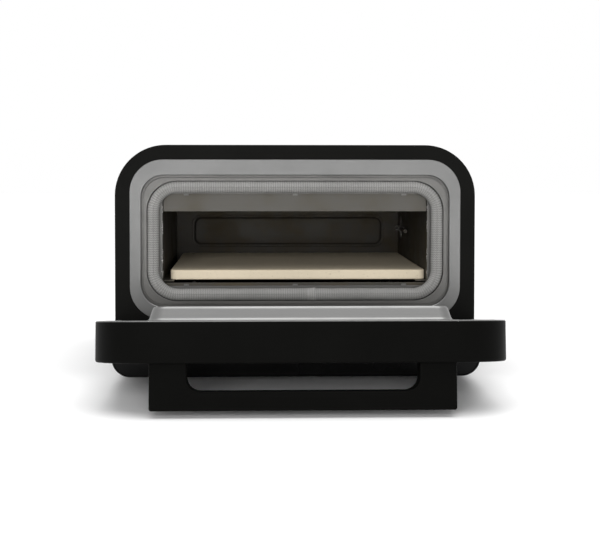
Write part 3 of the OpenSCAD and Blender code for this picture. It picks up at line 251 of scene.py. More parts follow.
def sheet_grain_group():
    """Grain of rolled or brushed sheet: long streaks over fine blasted grain, with faint smears."""
    tree, given, out = shader_group(
        "Sheet Grain",
        [("Vector", "NodeSocketVector", None), ("Stretch", "NodeSocketVector", (1.0, 40.0, 40.0)),
         ("Streak Scale", "NodeSocketFloat", 20.0), ("Grain Scale", "NodeSocketFloat", 1500.0)],
        [("Streak", "NodeSocketFloat"), ("Grain", "NodeSocketFloat"), ("Smear", "NodeSocketFloat")])
    stretched = add_node(tree, "ShaderNodeVectorMath", {0: given["Vector"], 1: given["Stretch"]},
                         operation="MULTIPLY").outputs[0]
    tree.links.new(noise(tree, stretched, given["Streak Scale"], 4.0, 0.65), out["Streak"])
    tree.links.new(noise(tree, given["Vector"], given["Grain Scale"], 1.0), out["Grain"])
    smear = noise(tree, given["Vector"], 22.0, 5.0, 0.6)
    tree.links.new(remap(tree, smear, 0.42, 0.68), out["Smear"])
    return tree


def edge_wear_group():
    """Mask of rounded edges, broken up by noise: rubbed wear, and on steel partly a painted highlight."""
    tree, given, out = shader_group(
        "Edge Wear",
        [("Vector", "NodeSocketVector", None), ("Radius", "NodeSocketFloat", 0.0012),
         ("Break Up", "NodeSocketFloat", 320.0)],
        [("Mask", "NodeSocketFloat")])
    rounded = add_node(tree, "ShaderNodeBevel", {"Radius": given["Radius"]}, samples=4).outputs[0]
    straight = tree.nodes.new("ShaderNodeNewGeometry").outputs["Normal"]
    dot = add_node(tree, "ShaderNodeVectorMath", {0: rounded, 1: straight},
                   operation="DOT_PRODUCT").outputs["Value"]
    edge = remap(tree, dot, 0.995, 0.90)
    patchy = remap(tree, noise(tree, given["Vector"], given["Break Up"], 4.0, 0.7), 0.42, 0.62)
    tree.links.new(math_node(tree, "MULTIPLY", edge, patchy, clamp=True), out["Mask"])
    return tree


def knit_group():
    """Loops of a fine knit. The vector holds the share of the way around, and the length along in metres."""
    tree, given, out = shader_group(
        "Knit",
        [("Vector", "NodeSocketVector", None), ("Wales", "NodeSocketFloat", 26.0),
         ("Course", "NodeSocketFloat", 0.00125)],
        [("Height", "NodeSocketFloat"), ("Yarn", "NodeSocketFloat")])
    place = add_node(tree, "ShaderNodeSeparateXYZ", {0: given["Vector"]})
    around = math_node(tree, "MULTIPLY", place.outputs["X"], given["Wales"])
    along = math_node(tree, "DIVIDE", place.outputs["Y"], given["Course"])
    wave = math_node(tree, "SINE", math_node(tree, "MULTIPLY", around, math.tau))
    rib = math_node(tree, "ABSOLUTE", wave)
    side = math_node(tree, "COSINE", math_node(tree, "MULTIPLY", around, math.tau))
    leaning = math_node(tree, "ADD", along, math_node(tree, "MULTIPLY", side, 0.22))
    course = math_node(tree, "SINE", math_node(tree, "MULTIPLY", leaning, math.pi))
    loop = math_node(tree, "ABSOLUTE", course)
    height = math_node(tree, "MULTIPLY", math_node(tree, "POWER", loop, 0.6),
                       math_node(tree, "ADD", math_node(tree, "MULTIPLY", rib, 0.55), 0.45))
    fibre_at = add_node(tree, "ShaderNodeVectorMath", {0: given["Vector"], 1: (140.0, 9000.0, 0.0)},
                        operation="MULTIPLY").outputs[0]
    fibre = noise(tree, fibre_at, 1.0, 2.0, 0.7)
    tree.links.new(math_node(tree, "ADD", height, math_node(tree, "MULTIPLY", fibre, 0.35)), out["Height"])
    # Mask for the painted shade between the loops and the painted light on their tops.
    tree.links.new(remap(tree, height, 0.05, 0.75), out["Yarn"])
    return tree


def mineral_group():
    """Speckle, pits and broad tone of pressed mineral."""
    tree, given, out = shader_group(
        "Mineral",
        [("Vector", "NodeSocketVector", None), ("Speckle Scale", "NodeSocketFloat", 1400.0),
         ("Pit Scale", "NodeSocketFloat", 420.0)],
        [("Speckle", "NodeSocketFloat"), ("Pits", "NodeSocketFloat"), ("Tone", "NodeSocketFloat")])
    speckle = remap(tree, noise(tree, given["Vector"], given["Speckle Scale"], 2.0, 0.7), 0.56, 0.70)
    cells = add_node(tree, "ShaderNodeTexVoronoi", {"Vector": given["Vector"], "Scale": given["Pit Scale"]})
    rare = remap(tree, noise(tree, given["Vector"], 260.0, 1.0), 0.50, 0.62)
    pits = math_node(tree, "MULTIPLY", remap(tree, cells.outputs["Distance"], 0.30, 0.12), rare)
    tree.links.new(speckle, out["Speckle"])
    tree.links.new(pits, out["Pits"])
    tree.links.new(remap(tree, noise(tree, given["Vector"], 9.0, 5.0, 0.6), 0.3, 0.7), out["Tone"])
    return tree


GROUP_MAKERS = {
    "Paint Grain": paint_grain_group, "Sheet Grain": sheet_grain_group, "Edge Wear": edge_wear_group,
    "Knit": knit_group, "Mineral": mineral_group,
}


class Finish:
    """A material being put together around one Principled shader."""

    def __init__(self, name, base, roughness, metallic=0.0, specular=0.5):
        self.material = bpy.data.materials.new(name)
        self.material.use_nodes = True
        self.tree = self.material.node_tree
        self.shader = self.tree.nodes["Principled BSDF"]
        self.at = self.tree.nodes.new("ShaderNodeTexCoord").outputs["Object"]
        self.base = tuple(base)[:3] + (1.0,)
        self.set("Base Color", self.base)
        self.set("Roughness", roughness)
        self.set("Metallic", metallic)
        self.set("Specular IOR Level", specular)

    def set(self, socket, value):
        """Sets an input of the shader to a value or a link."""
        if isinstance(value, bpy.types.NodeSocket):
            self.tree.links.new(value, self.shader.inputs[socket])
        else:
            self.shader.inputs[socket].default_value = value

    def group(self, name, vector=None, **inputs):
        """Outputs of a shared group that is placed in this material."""
        tree = bpy.data.node_groups.get(name) or GROUP_MAKERS[name]()
        given = {"Vector": vector or self.at}
        given.update({key.replace("_", " ").title(): value for key, value in inputs.items()})
        return add_node(self.tree, "ShaderNodeGroup", None, node_tree=tree), given

    def use(self, name, vector=None, **inputs):
        """Places a shared group, fills its inputs and gives its outputs."""
        node, given = self.group(name, vector, **inputs)
        for key, value in given.items():
            if isinstance(value, bpy.types.NodeSocket):
                self.tree.links.new(value, node.inputs[key])
            else:
                node.inputs[key].default_value = value
        return node.outputs

    def mix(self, factor, a, b):
        """Colour between a and b."""
        a, b = (tuple(c)[:3] + (1.0,) if not isinstance(c, bpy.types.NodeSocket) else c for c in (a, b))
        node = add_node(self.tree, "ShaderNodeMix", {0: factor, 6: a, 7: b}, data_type="RGBA")
        return node.outputs[2]

    def blend(self, factor, low, high):
        """Value between low and high."""
        return remap(self.tree, factor, 0.0, 1.0, low, high)

    def bump(self, height, distance, strength=1.0, normal=None):
        """Adds a bump and gives its normal."""
        inputs = {"Height": height, "Distance": distance, "Strength": strength}
        if normal is not None:
            inputs["Normal"] = normal
        node = add_node(self.tree, "ShaderNodeBump", inputs)
        self.tree.links.new(node.outputs["Normal"], self.shader.inputs["Normal"])
        return node.outputs["Normal"]


def shade(colour, factor):
    """A colour made darker or lighter."""
    return tuple(min(1.0, c * factor) for c in colour[:3])


# Finishes


def satin_black(name="satin_black_paint", base=None, roughness=0.42, specular=0.04):
    """Satin powder paint with fine orange peel and rubbed edges."""
    base = base or tuple(colours().black_paint)
    finish = Finish(name, base, roughness, specular=specular)
    grain = finish.use("Paint Grain")
    wear = finish.use("Edge Wear")
    finish.set("Base Color", finish.mix(math_node(finish.tree, "MULTIPLY", wear["Mask"], 0.5),
                                        finish.mix(grain["Cloud"], shade(base, 0.9), shade(base, 1.15)),
                                        shade(base, 3.0)))
    finish.set("Roughness", finish.blend(grain["Cloud"], roughness - 0.03, roughness + 0.05))
    finish.bump(grain["Peel"], 0.00004, 0.5)
    return finish.material


def gloss_black():
    """Glossy enamel with a faint ripple."""
    base = tuple(colours().gloss_black)
    finish = Finish("gloss_black_enamel", base, 0.16, specular=0.12)
    grain = finish.use("Paint Grain", peel_scale=260.0)
    finish.set("Base Color", finish.mix(grain["Cloud"], shade(base, 0.85), shade(base, 1.2)))
    finish.set("Roughness", finish.blend(grain["Cloud"], 0.13, 0.21))
    finish.bump(grain["Peel"], 0.00002, 0.4)
    return finish.material


def steel(name, base, roughness, stretch=(1.0, 40.0, 40.0), streak=0.12, grain_depth=0.00002, wear=1.25):
    """Satin steel sheet with grain, faint streaks and smears, and lighter edges that are partly rubbed wear
    and partly a painted highlight.
    """
    finish = Finish(name, base, roughness, metallic=1.0)
    grain = finish.use("Sheet Grain", stretch=stretch)
    edge = finish.use("Edge Wear", radius=0.0009)
    tone = finish.mix(grain["Streak"], shade(base, 1.0 - streak), shade(base, 1.0 + streak))
    tone = finish.mix(math_node(finish.tree, "MULTIPLY", grain["Smear"], 0.25), tone, shade(base, 0.86))
    # Lighter edges: partly rubbed wear, partly a painted highlight on the rounded edges.
    finish.set("Base Color", finish.mix(edge["Mask"], tone, shade(base, wear)))
    finish.set("Roughness", finish.blend(grain["Smear"], roughness - 0.03, roughness + 0.06))
    finish.bump(grain["Grain"], grain_depth, 0.6)
    return finish.material


def heat_steel(name, base, roughness, warm=(1.25, 1.10, 0.85)):
    """Steel that heat has darkened unevenly, with a brown tint and a film of soot."""
    finish = Finish(name, base, roughness, metallic=0.85)
    grain = finish.use("Sheet Grain")
    edge = finish.use("Edge Wear", radius=0.0008)
    tint = tuple(c * w for c, w in zip(base, warm))
    tone = finish.mix(grain["Smear"], base, tint)
    tone = finish.mix(math_node(finish.tree, "MULTIPLY", grain["Streak"], 0.3), tone, shade(base, 0.6))
    finish.set("Base Color", finish.mix(edge["Mask"], tone, shade(base, 1.8)))
    finish.set("Roughness", finish.blend(grain["Smear"], roughness, roughness + 0.15))
    finish.bump(grain["Grain"], 0.00003, 0.6)
    return finish.material


def knitted_rope(name="knitted_glass_rope", lift=1.0):
    """Knitted glass fibre, with painted shade between its loops and painted light on their tops."""
    base = shade(tuple(colours().rope), lift)
    finish = Finish(name, base, 0.75, specular=0.35)
    along = add_node(finish.tree, "ShaderNodeAttribute", attribute_name="knit").outputs["Vector"]
    knit = finish.use("Knit", along, wales=float(sizes().knit_wales), course=sizes().knit_course)
    soil = finish.use("Sheet Grain", grain_scale=600.0)
    # Painted shade between the loops and painted light on their tops.
    tone = finish.mix(knit["Yarn"], shade(base, 0.22), shade(base, 1.5))
    finish.set("Base Color", finish.mix(math_node(finish.tree, "MULTIPLY", soil["Smear"], 0.35),
                                        tone, shade(base, 0.7)))
    finish.bump(knit["Height"], 0.00045, 1.0)
    return finish.material


def cordierite():
    """Cream pressed stone with fine speckle, small pits and darker rubbed edges."""
    base = tuple(colours().stone)
    finish = Finish("cordierite_stone", base, 0.88, specular=0.25)
    mineral = finish.use("Mineral")
    edge = finish.use("Edge Wear", radius=0.002, break_up=180.0)
    tone = finish.mix(mineral["Tone"], shade(base, 0.93), shade(base, 1.06))
    tone = finish.mix(math_node(finish.tree, "MULTIPLY", mineral["Speckle"], 0.30), tone, shade(base, 0.62))
    tone = finish.mix(math_node(finish.tree, "MULTIPLY", mineral["Pits"], 0.6), tone, shade(base, 0.5))
    stain = tuple(c * w for c, w in zip(base, (0.86, 0.78, 0.60)))
    finish.set("Base Color", finish.mix(math_node(finish.tree, "MULTIPLY", edge["Mask"], 0.7), tone, stain))
    rough = finish.bump(mineral["Speckle"], 0.00006, 0.6)
    depth = math_node(finish.tree, "MULTIPLY", mineral["Pits"], -1.0)
    finish.bump(depth, 0.0004, 0.7, rough)
    return finish.material


def plain_moulding(name, base, roughness=0.45, specular=0.4, peel_scale=1400.0, depth=0.00003):
    """Moulded plastic or rubber with a fine sparked texture and paler edges."""
    finish = Finish(name, base, roughness, specular=specular)
    grain = finish.use("Paint Grain", peel_scale=peel_scale)
    edge = finish.use("Edge Wear", radius=0.0008)
    finish.set("Base Color", finish.mix(math_node(finish.tree, "MULTIPLY", edge["Mask"], 0.6),
                                        finish.mix(grain["Cloud"], shade(base, 0.88), shade(base, 1.12)),
                                        shade(base, 2.0)))
    finish.set("Roughness", finish.blend(grain["Cloud"], roughness - 0.05, roughness + 0.06))
    finish.bump(grain["Peel"], depth, 0.6)
    return finish.material


def fibre_blanket():
    """Felted ceramic fibre."""
    base = tuple(colours().blanket)
    finish = Finish("fibre_blanket", base, 0.95, specular=0.1)
    mineral = finish.use("Mineral", speckle_scale=500.0)
    grain = finish.use("Sheet Grain", stretch=(3.0, 3.0, 9.0), streak_scale=60.0)
    finish.set("Base Color", finish.mix(grain["Streak"], shade(base, 0.82), shade(base, 1.08)))
    finish.set("Sheen Weight", 0.3)
    rough = finish.bump(grain["Streak"], 0.0008, 0.6)
    finish.bump(mineral["Speckle"], 0.0002, 0.5, rough)
    return finish.material


def dark_glass():
    """Heat-proof glass with a grey tint and faint smears."""
    finish = Finish("smoked_glass", (0.20, 0.21, 0.215), 0.04, specular=0.5)
    grain = finish.use("Paint Grain", cloud_scale=30.0)
    finish.set("Transmission Weight", 1.0)
    finish.set("IOR", 1.47)
    finish.set("Roughness", finish.blend(grain["Cloud"], 0.02, 0.06))
    return finish.material


def lamp_lens():
    """Clear red lens over a small lamp that is off."""
    finish = Finish("red_lens", (0.42, 0.012, 0.006), 0.12, specular=0.5)
    grain = finish.use("Paint Grain", cloud_scale=300.0)
    finish.set("Base Color", finish.mix(grain["Cloud"], (0.30, 0.008, 0.005), (0.50, 0.02, 0.01)))
    finish.set("Coat Weight", 0.6)
    finish.set("Coat Roughness", 0.05)
    return finish.material


def dial_print():
    """Dark print of the dial marks."""
    finish = Finish("dial_print", (0.012, 0.012, 0.012), 0.55, specular=0.3)
    grain = finish.use("Paint Grain", cloud_scale=120.0)
    finish.set("Base Color", finish.mix(grain["Cloud"], (0.010, 0.010, 0.010), (0.016, 0.016, 0.015)))
    return finish.material


def tubular_sheath():
    """Dark oxidised sheath of the heating elements."""
    return heat_steel("element_sheath", (0.055, 0.050, 0.046), 0.42, (1.3, 1.0, 0.85))


FINISHES = {
    "black_paint": satin_black,
    # The door and the handle use darker copies of the body's black paint: painted shade, not a different
    # paint.
    "door_paint": lambda: satin_black("door_paint", shade(colours().black_paint, 0.55), 0.44, 0.02),
    "handle_black": lambda: satin_black("handle_coating", shade(colours().black_paint, 0.50), 0.46, 0.02),
    "gloss_black": gloss_black,
    "frame_steel": lambda: steel("frame_steel", tuple(colours().frame_steel), 0.40, streak=0.03),
    "channel_steel": lambda: steel("channel_steel", tuple(colours().channel_steel), 0.42, streak=0.06),
    "plate_steel": lambda: steel("plate_steel", (0.42, 0.42, 0.415), 0.32, stretch=(40.0, 1.0, 40.0),
                                 streak=0.10),
    "liner_steel": lambda: steel("liner_steel", tuple(colours().liner_steel), 0.36, streak=0.04),
    "clip_steel": lambda: steel("clip_steel", (0.30, 0.29, 0.28), 0.45),
    "probe_steel": lambda: heat_steel("probe_steel", (0.10, 0.095, 0.088), 0.42),
    "spindle_steel": lambda: steel("turned_steel", (0.50, 0.50, 0.49), 0.25),
    "screw_steel": lambda: steel("screw_steel", (0.42, 0.42, 0.41), 0.33, wear=1.4),
    "hinge_metal": lambda: steel("cast_metal", (0.36, 0.36, 0.35), 0.5),
    "bush_brass": lambda: steel("bronze_bush", (0.55, 0.36, 0.13), 0.32),
    "shield_steel": lambda: heat_steel("shield_steel", tuple(colours().shield_steel), 0.42,
                                       (1.08, 1.03, 0.93)),
    "cavity_steel": lambda: heat_steel("cavity_steel", tuple(colours().cavity_steel), 0.48),
    "element_steel": tubular_sheath,
    "rope": knitted_rope,
    "sleeve": lambda: knitted_rope("sleeve_cloth", 1.12),
    # Bare steel made much lighter than the walls' steel: partly a painted glint.
    "bare_edge": lambda: steel("bare_edge", (0.80, 0.79, 0.76), 0.45),
    "stone": cordierite,
    "blanket": fibre_blanket,
    "loom_sleeve": lambda: plain_moulding("woven_sleeve", (0.45, 0.38, 0.26), 0.85, 0.2, 700.0, 0.0003),
    "ceramic": lambda: plain_moulding("glazed_ceramic", (0.70, 0.67, 0.60), 0.28, 0.5),
    "switch_plastic": lambda: plain_moulding("switch_moulding", (0.55, 0.52, 0.45), 0.5, 0.4),
    "rubber": lambda: plain_moulding("foot_rubber", (0.014, 0.014, 0.014), 0.72, 0.25, 900.0, 0.00006),
    "knob_black": lambda: plain_moulding("knob_moulding", tuple(colours().knob), 0.42, 0.35),
    "inlet_black": lambda: plain_moulding("inlet_moulding", tuple(colours().knob), 0.5, 0.35),
    "lamp_red": lamp_lens,
    "glass": dark_glass,
    "print": dial_print,
}


def finish_of(slot):
    """The material of a slot, made when it is first asked for."""
    label = "oven_" + slot
    if label not in bpy.data.materials:
        FINISHES[slot]().name = label
    return bpy.data.materials[label]


# Mesh building


def outline(half_w, z0, z1, top_r, low_r):
    """Points of a rounded rectangle in X and Z, with as many points whatever its size."""
    corners = [(half_w - top_r, z1 - top_r, top_r, 0.0), (top_r - half_w, z1 - top_r, top_r, 0.5),
               (low_r - half_w, z0 + low_r, low_r, 1.0), (half_w - low_r, z0 + low_r, low_r, 1.5)]
    turns = np.linspace(0.0, 0.5, ARC_STEPS) * math.pi
    points = [(x + r * math.cos(start * math.pi + t), z + r * math.sin(start * math.pi + t))
              for x, z, r, start in corners for t in turns]
    return np.array(points)


def ring(points, y):
    """An outline stood up at a depth y."""
    return np.column_stack([points[:, 0], np.full(len(points), y), points[:, 1]])


def unit(v):
    """Rows of v at length one."""
    return v / np.maximum(np.linalg.norm(v, axis=1, keepdims=True), 1e-12)


def soften(rings, steps=4):
    """Rounds the rings that come with a reach. rings holds pairs of ring and reach, 0 for a sharp one."""
    rounded = []
    for i, (here, reach) in enumerate(rings):
        if not reach:
            rounded.append(here)
            continue
        before, after = rings[i - 1][0], rings[(i + 1) % len(rings)][0]
        a = here + unit(before - here) * reach
        b = here + unit(after - here) * reach
        for t in np.linspace(0.0, 1.0, steps + 1):
            rounded.append((1 - t) ** 2 * a + 2 * t * (1 - t) * here + t * t * b)
    return rounded


def loft(name, rings, closed=True, caps=False):
    """Mesh through rings of as many points each. closed joins last to first, and caps fills the ends."""
    count, per = len(rings), len(rings[0])
    verts = np.concatenate(rings)
    faces = []
    for i in range(count if closed else count - 1):
        low, high = i * per, (i + 1) % count * per
        for k in range(per):
            after = (k + 1) % per
            faces.append((low + k, low + after, high + after, high + k))
    if caps:
        faces.append(tuple(range(per)))
        faces.append(tuple((count - 1) * per + k for k in reversed(range(per))))
    mesh = bpy.data.meshes.new(name)
    mesh.from_pydata(verts.tolist(), [], faces)
    bm = bmesh.new()
    bm.from_mesh(mesh)
    bmesh.ops.recalc_face_normals(bm, faces=bm.faces)
    bm.to_mesh(mesh)
    bm.free()
    return mesh


def on_body(points):
    """Points on the body, moved to the frame's origin."""
    return np.asarray(points, float) + np.array([MID_X, FACE_Y, 0.0])


def on_door(points):
    """Points on the shut door, swung open about the hinge and moved to the frame's origin."""
    p = np.asarray(points, float)
    y, z = p[:, 1] - HINGE_Y, p[:, 2] - HINGE_Z
    c, s = math.cos(SWING), math.sin(SWING)
    return on_body(np.column_stack([p[:, 0], HINGE_Y + y * c - z * s, HINGE_Z + y * s + z * c]))


def move_mesh(mesh, place):
    """Moves every vertex of a mesh by one of the two functions above."""
    co = np.zeros(len(mesh.vertices) * 3)
    mesh.vertices.foreach_get("co", co)
    mesh.vertices.foreach_set("co", place(co.reshape(-1, 3)).ravel())
    mesh.update()
    return mesh


def smooth(mesh, angle=32.0):
    """Smooth shading that breaks at edges sharper than the angle."""
    mesh.polygons.foreach_set("use_smooth", [True] * len(mesh.polygons))
    mesh.set_sharp_from_angle(angle=math.radians(angle))


def even_normals(obj):
    """Keeps large flat faces flat beside small rounded ones."""
    weigh = obj.modifiers.new("even_normals", "WEIGHTED_NORMAL")
    weigh.keep_sharp = True
    weigh.weight = 80


def add_piece(name, mesh, body, slot, replaced=(), material=None):
    """Links a finished mesh as a piece that rides on a body and stands for CAD nodes."""
    mesh.name = name
    mesh.materials.clear()
    mesh.materials.append(material or finish_of(slot))
    obj = bpy.data.objects.new(name, mesh)
    bpy.context.scene.collection.objects.link(obj)
    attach(obj, body)
    if replaced:
        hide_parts(*replaced)
    return obj


def add_sheet(name, rings, place, body, slot, replaced=(), steps=4, cut=None):
    """Lofts a sheet-metal or moulded piece, places it, cuts it and links it."""
    mesh = move_mesh(loft(name, soften(rings, steps)), place)
    if cut is not None:
        mesh = carve(mesh, cut)
    smooth(mesh)
    obj = add_piece(name, mesh, body, slot, replaced)
    even_normals(obj)
    return obj


def carve(mesh, cutter):
    """The mesh with the cutter's volume taken away."""
    scene = bpy.context.scene.collection.objects
    target, tool = bpy.data.objects.new("target", mesh), bpy.data.objects.new("tool", cutter)
    scene.link(target)
    scene.link(tool)
    boolean = target.modifiers.new("cut", "BOOLEAN")
    boolean.operation = "DIFFERENCE"
    boolean.solver = "EXACT"
    boolean.object = tool
    bpy.context.view_layer.update()
    done = bpy.data.meshes.new_from_object(target.evaluated_get(bpy.context.evaluated_depsgraph_get()))
    bpy.data.objects.remove(target)
    bpy.data.objects.remove(tool)
    return done


def boxes(name, spans_list):
    """Mesh of separate boxes, each given by two corners."""
    bm = bmesh.new()
    for low, high in spans_list:
        low, high = Vector(low), Vector(high)
        matrix = Matrix.Translation((low + high) / 2) @ Matrix.Diagonal((*(high - low), 1.0))
        bmesh.ops.create_cube(bm, size=1.0, matrix=matrix)
    mesh = bpy.data.meshes.new(name)
    bm.to_mesh(mesh)
    bm.free()
    return mesh


def edge_body(inset):
    """Outline of the body seen from the front."""
    s = sizes()
    return outline(HALF_W - inset, BASE_Z + inset, TOP_Z - inset, s.top_corner - inset, s.low_corner - inset)


def edge_frame(inset):
    """Outline of the steel frame."""
    low, high = spans("front_frame")
    r = sizes().frame_corner - inset
    return outline((high[0] - low[0]) / 2 - inset, low[2] + inset, high[2] - inset, r, r)


def edge_rim(inset):
    """Outline of the opening in the steel frame. A negative inset lies under the frame."""
    half_w, z0, z1 = SIZES["rim_half_w"], SIZES["rim_low"], SIZES["rim_high"]
    r = max(sizes().rim_corner - inset, 0.002)
    return outline(half_w - inset, z0 + inset, z1 - inset, r, r)


def edge_ledge(inset):
    """Inner edge of the channel's ledge, which follows the outside of the rope around the corners."""
    corner = sizes().rope_corner + sizes().rope_radius
    half_w, z0, z1 = SIZES["rim_half_w"], SIZES["rim_low"], SIZES["rim_high"]
    return outline(half_w - inset, z0 + inset, z1 - inset, corner, corner)


def edge_mouth():
    """Outline of the cavity's mouth, from the walls, the ceiling and the floor of the seal's channel."""
    left = MID_X - spans("cavity_left_wall")[1][0]
    return outline(left, SIZES["mouth_low"], spans("cavity_ceiling")[0][2], 0.0006, 0.0006)


# Geometry nodes


def node_group(name, inputs):
    """A new geometry group. inputs holds name, socket type and default for each input after the geometry."""
    tree = bpy.data.node_groups.new(name, "GeometryNodeTree")
    tree.interface.new_socket("Geometry", in_out="INPUT", socket_type="NodeSocketGeometry")
    for label, kind, default in inputs:
        socket = tree.interface.new_socket(label, in_out="INPUT", socket_type=kind)
        if default is not None:
            socket.default_value = default
    tree.interface.new_socket("Geometry", in_out="OUTPUT", socket_type="NodeSocketGeometry")
    return tree, tree.nodes.new("NodeGroupInput").outputs, tree.nodes.new("NodeGroupOutput").inputs


def grown_mesh(tree, source=None, **values):
    """Mesh that a geometry group makes, with its inputs set by name."""
    start = source or bpy.data.meshes.new("start")
    holder = bpy.data.objects.new("holder", start)
    bpy.context.scene.collection.objects.link(holder)
    modifier = holder.modifiers.new("nodes", "NODES")
    modifier.node_group = tree
    keys = {item.name: item.identifier for item in tree.interface.items_tree if item.in_out == "INPUT"}
    for label, value in values.items():
        modifier[keys[label.replace("_", " ").title()]] = value
    holder.update_tag()
    bpy.context.view_layer.update()
    done = bpy.data.meshes.new_from_object(holder.evaluated_get(bpy.context.evaluated_depsgraph_get()))
    bpy.data.objects.remove(holder)
    if not done.vertices:
        raise RuntimeError(tree.name + " made no mesh")
    return done


def named_value(tree, name, kind="FLOAT"):
    """Output of a named attribute."""
    return add_node(tree, "GeometryNodeInputNamedAttribute", {"Name": name}, data_type=kind).outputs[0]


def knit_tube(tree, curve, radius, course, rib, sides, drift):
    """Knitted tube along a curve: ribs across it, and a slow unevenness. Stores the vector 'knit'."""
    length = add_node(tree, "GeometryNodeSplineParameter").outputs["Length"]
    along = add_node(tree, "GeometryNodeStoreNamedAttribute",
                     {"Geometry": curve, "Name": "along", "Value": length}, data_type="FLOAT").outputs[0]
    circle = add_node(tree, "GeometryNodeCurvePrimitiveCircle", {"Resolution": sides, "Radius": radius})
    factor = add_node(tree, "GeometryNodeSplineParameter").outputs["Factor"]
    profile = add_node(tree, "GeometryNodeStoreNamedAttribute",
                       {"Geometry": circle.outputs[0], "Name": "around", "Value": factor},
                       data_type="FLOAT").outputs[0]
    tube = add_node(tree, "GeometryNodeCurveToMesh", {"Curve": along, "Profile Curve": profile,
                                                      "Fill Caps": True}).outputs[0]
    place, turn = named_value(tree, "along"), named_value(tree, "around")
    phase = math_node(tree, "MULTIPLY", math_node(tree, "DIVIDE", place, course), math.pi)
    wave = math_node(tree, "ABSOLUTE", math_node(tree, "SINE", phase))
    ribs = math_node(tree, "MULTIPLY", math_node(tree, "SUBTRACT", wave, 0.6), rib)
    spot = tree.nodes.new("GeometryNodeInputPosition").outputs[0]
    slow = math_node(tree, "SUBTRACT", noise(tree, spot, 60.0, 3.0), 0.5)
    lift = math_node(tree, "ADD", ribs, math_node(tree, "MULTIPLY", slow, drift))
    normal = tree.nodes.new("GeometryNodeInputNormal").outputs[0]
    offset = add_node(tree, "ShaderNodeVectorMath", {0: normal, "Scale": lift}, operation="SCALE").outputs[0]
    shaped = add_node(tree, "GeometryNodeSetPosition", {"Geometry": tube, "Offset": offset}).outputs[0]
    pair = add_node(tree, "ShaderNodeCombineXYZ", {0: turn, 1: place}).outputs[0]
    stored = add_node(tree, "GeometryNodeStoreNamedAttribute",
                      {"Geometry": shaped, "Name": "knit", "Value": pair}, data_type="FLOAT_VECTOR")
    return stored.outputs[0]


def rope_group():
    """Woven rope along a chain of edges, with its bends rounded."""
    tree, given, out = node_group("Woven Rope", [
        ("Bend", "NodeSocketFloat", 0.01), ("Radius", "NodeSocketFloat", 0.0034),
        ("Course", "NodeSocketFloat", 0.0016), ("Rib", "NodeSocketFloat", 0.0001),
        ("Sides", "NodeSocketInt", 24), ("Drift", "NodeSocketFloat", 0.0003),
        ("Tilt", "NodeSocketFloat", 0.0), ("Material", "NodeSocketMaterial", None)])
    line = add_node(tree, "GeometryNodeMeshToCurve", {"Mesh": given["Geometry"]}).outputs[0]
    filleted = add_node(tree, "GeometryNodeFilletCurve",
                        {"Curve": line, "Count": 16, "Radius": given["Bend"]}, mode="POLY")
    step = math_node(tree, "DIVIDE", given["Course"], 2.5)
    even = add_node(tree, "GeometryNodeResampleCurve",
                    {"Curve": filleted.outputs[0], "Length": step}, mode="LENGTH")
    tilted = add_node(tree, "GeometryNodeSetCurveTilt", {"Curve": even.outputs[0], "Tilt": given["Tilt"]})
    tube = knit_tube(tree, tilted.outputs[0], given["Radius"], given["Course"], given["Rib"], given["Sides"],
                     given["Drift"])
    done = add_node(tree, "GeometryNodeSetMaterial", {"Geometry": tube, "Material": given["Material"]})
    tree.links.new(done.outputs[0], out[0])
    return tree


def scatter_group():
    """Copies of the head object at the points of a mesh, all given one turn and each spun at random about its
    own axis.
    """
    tree, given, out = node_group("Fasteners", [
        ("Head", "NodeSocketObject", None), ("Turn", "NodeSocketRotation", (0.0, 0.0, 0.0)),
        ("Spin", "NodeSocketFloat", 3.0), ("Seed", "NodeSocketInt", 4),
        ("Material", "NodeSocketMaterial", None)])
    head = add_node(tree, "GeometryNodeObjectInfo", {"Object": given["Head"]}).outputs["Geometry"]
    points = add_node(tree, "GeometryNodeMeshToPoints", {"Mesh": given["Geometry"]}).outputs[0]
    spin = add_node(tree, "FunctionNodeRandomValue", {2: 0.0, 3: given["Spin"], "Seed": given["Seed"]},
                    data_type="FLOAT").outputs[1]
    around = add_node(tree, "ShaderNodeCombineXYZ", {2: spin}).outputs[0]
    local = add_node(tree, "FunctionNodeEulerToRotation", {0: around}).outputs[0]
    both = add_node(tree, "FunctionNodeRotateRotation", {0: given["Turn"], 1: local}, rotation_space="LOCAL")
    copies = add_node(tree, "GeometryNodeInstanceOnPoints",
                      {"Points": points, "Instance": head, "Rotation": both.outputs[0]}).outputs[0]
    real = add_node(tree, "GeometryNodeRealizeInstances", {"Geometry": copies}).outputs[0]
    done = add_node(tree, "GeometryNodeSetMaterial", {"Geometry": real, "Material": given["Material"]})
    tree.links.new(done.outputs[0], out[0])
    return tree


# Finished copies of CAD solids


def merged_copy(node, flat_angle=1.0):
    """Mesh of a CAD node with its vertices joined and its flat faces made whole."""
    mesh = frame["nodes"][node].data.copy()
    bm = bmesh.new()
    bm.from_mesh(mesh)
    bmesh.ops.remove_doubles(bm, verts=bm.verts, dist=1e-6)
    bmesh.ops.dissolve_limit(bm, angle_limit=math.radians(flat_angle), use_dissolve_boundaries=False,
                             verts=bm.verts, edges=bm.edges, delimit={"NORMAL"})
    bm.to_mesh(mesh)
    bm.free()
    return mesh


def body_of(node):
    """Body that a CAD node belongs to."""
    return frame["nodes"][node]["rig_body"]


def rounded_copy(node, slot, width=0.0004, segments=2, material=None, angle=30.0):
    """Copy of a CAD node with its sharp edges rounded, standing in for the node."""
    mesh = merged_copy(node)
    smooth(mesh, angle)
    obj = add_piece(node + "_finished", mesh, body_of(node), slot, (node,), material)
    if not width:
        return obj
    bevel = obj.modifiers.new("rounding", "BEVEL")
    bevel.width = width
    bevel.segments = segments
    bevel.limit_method = "ANGLE"
    bevel.angle_limit = math.radians(angle)
    bevel.harden_normals = True
    bevel.use_clamp_overlap = True
    return obj


# Pieces of the body


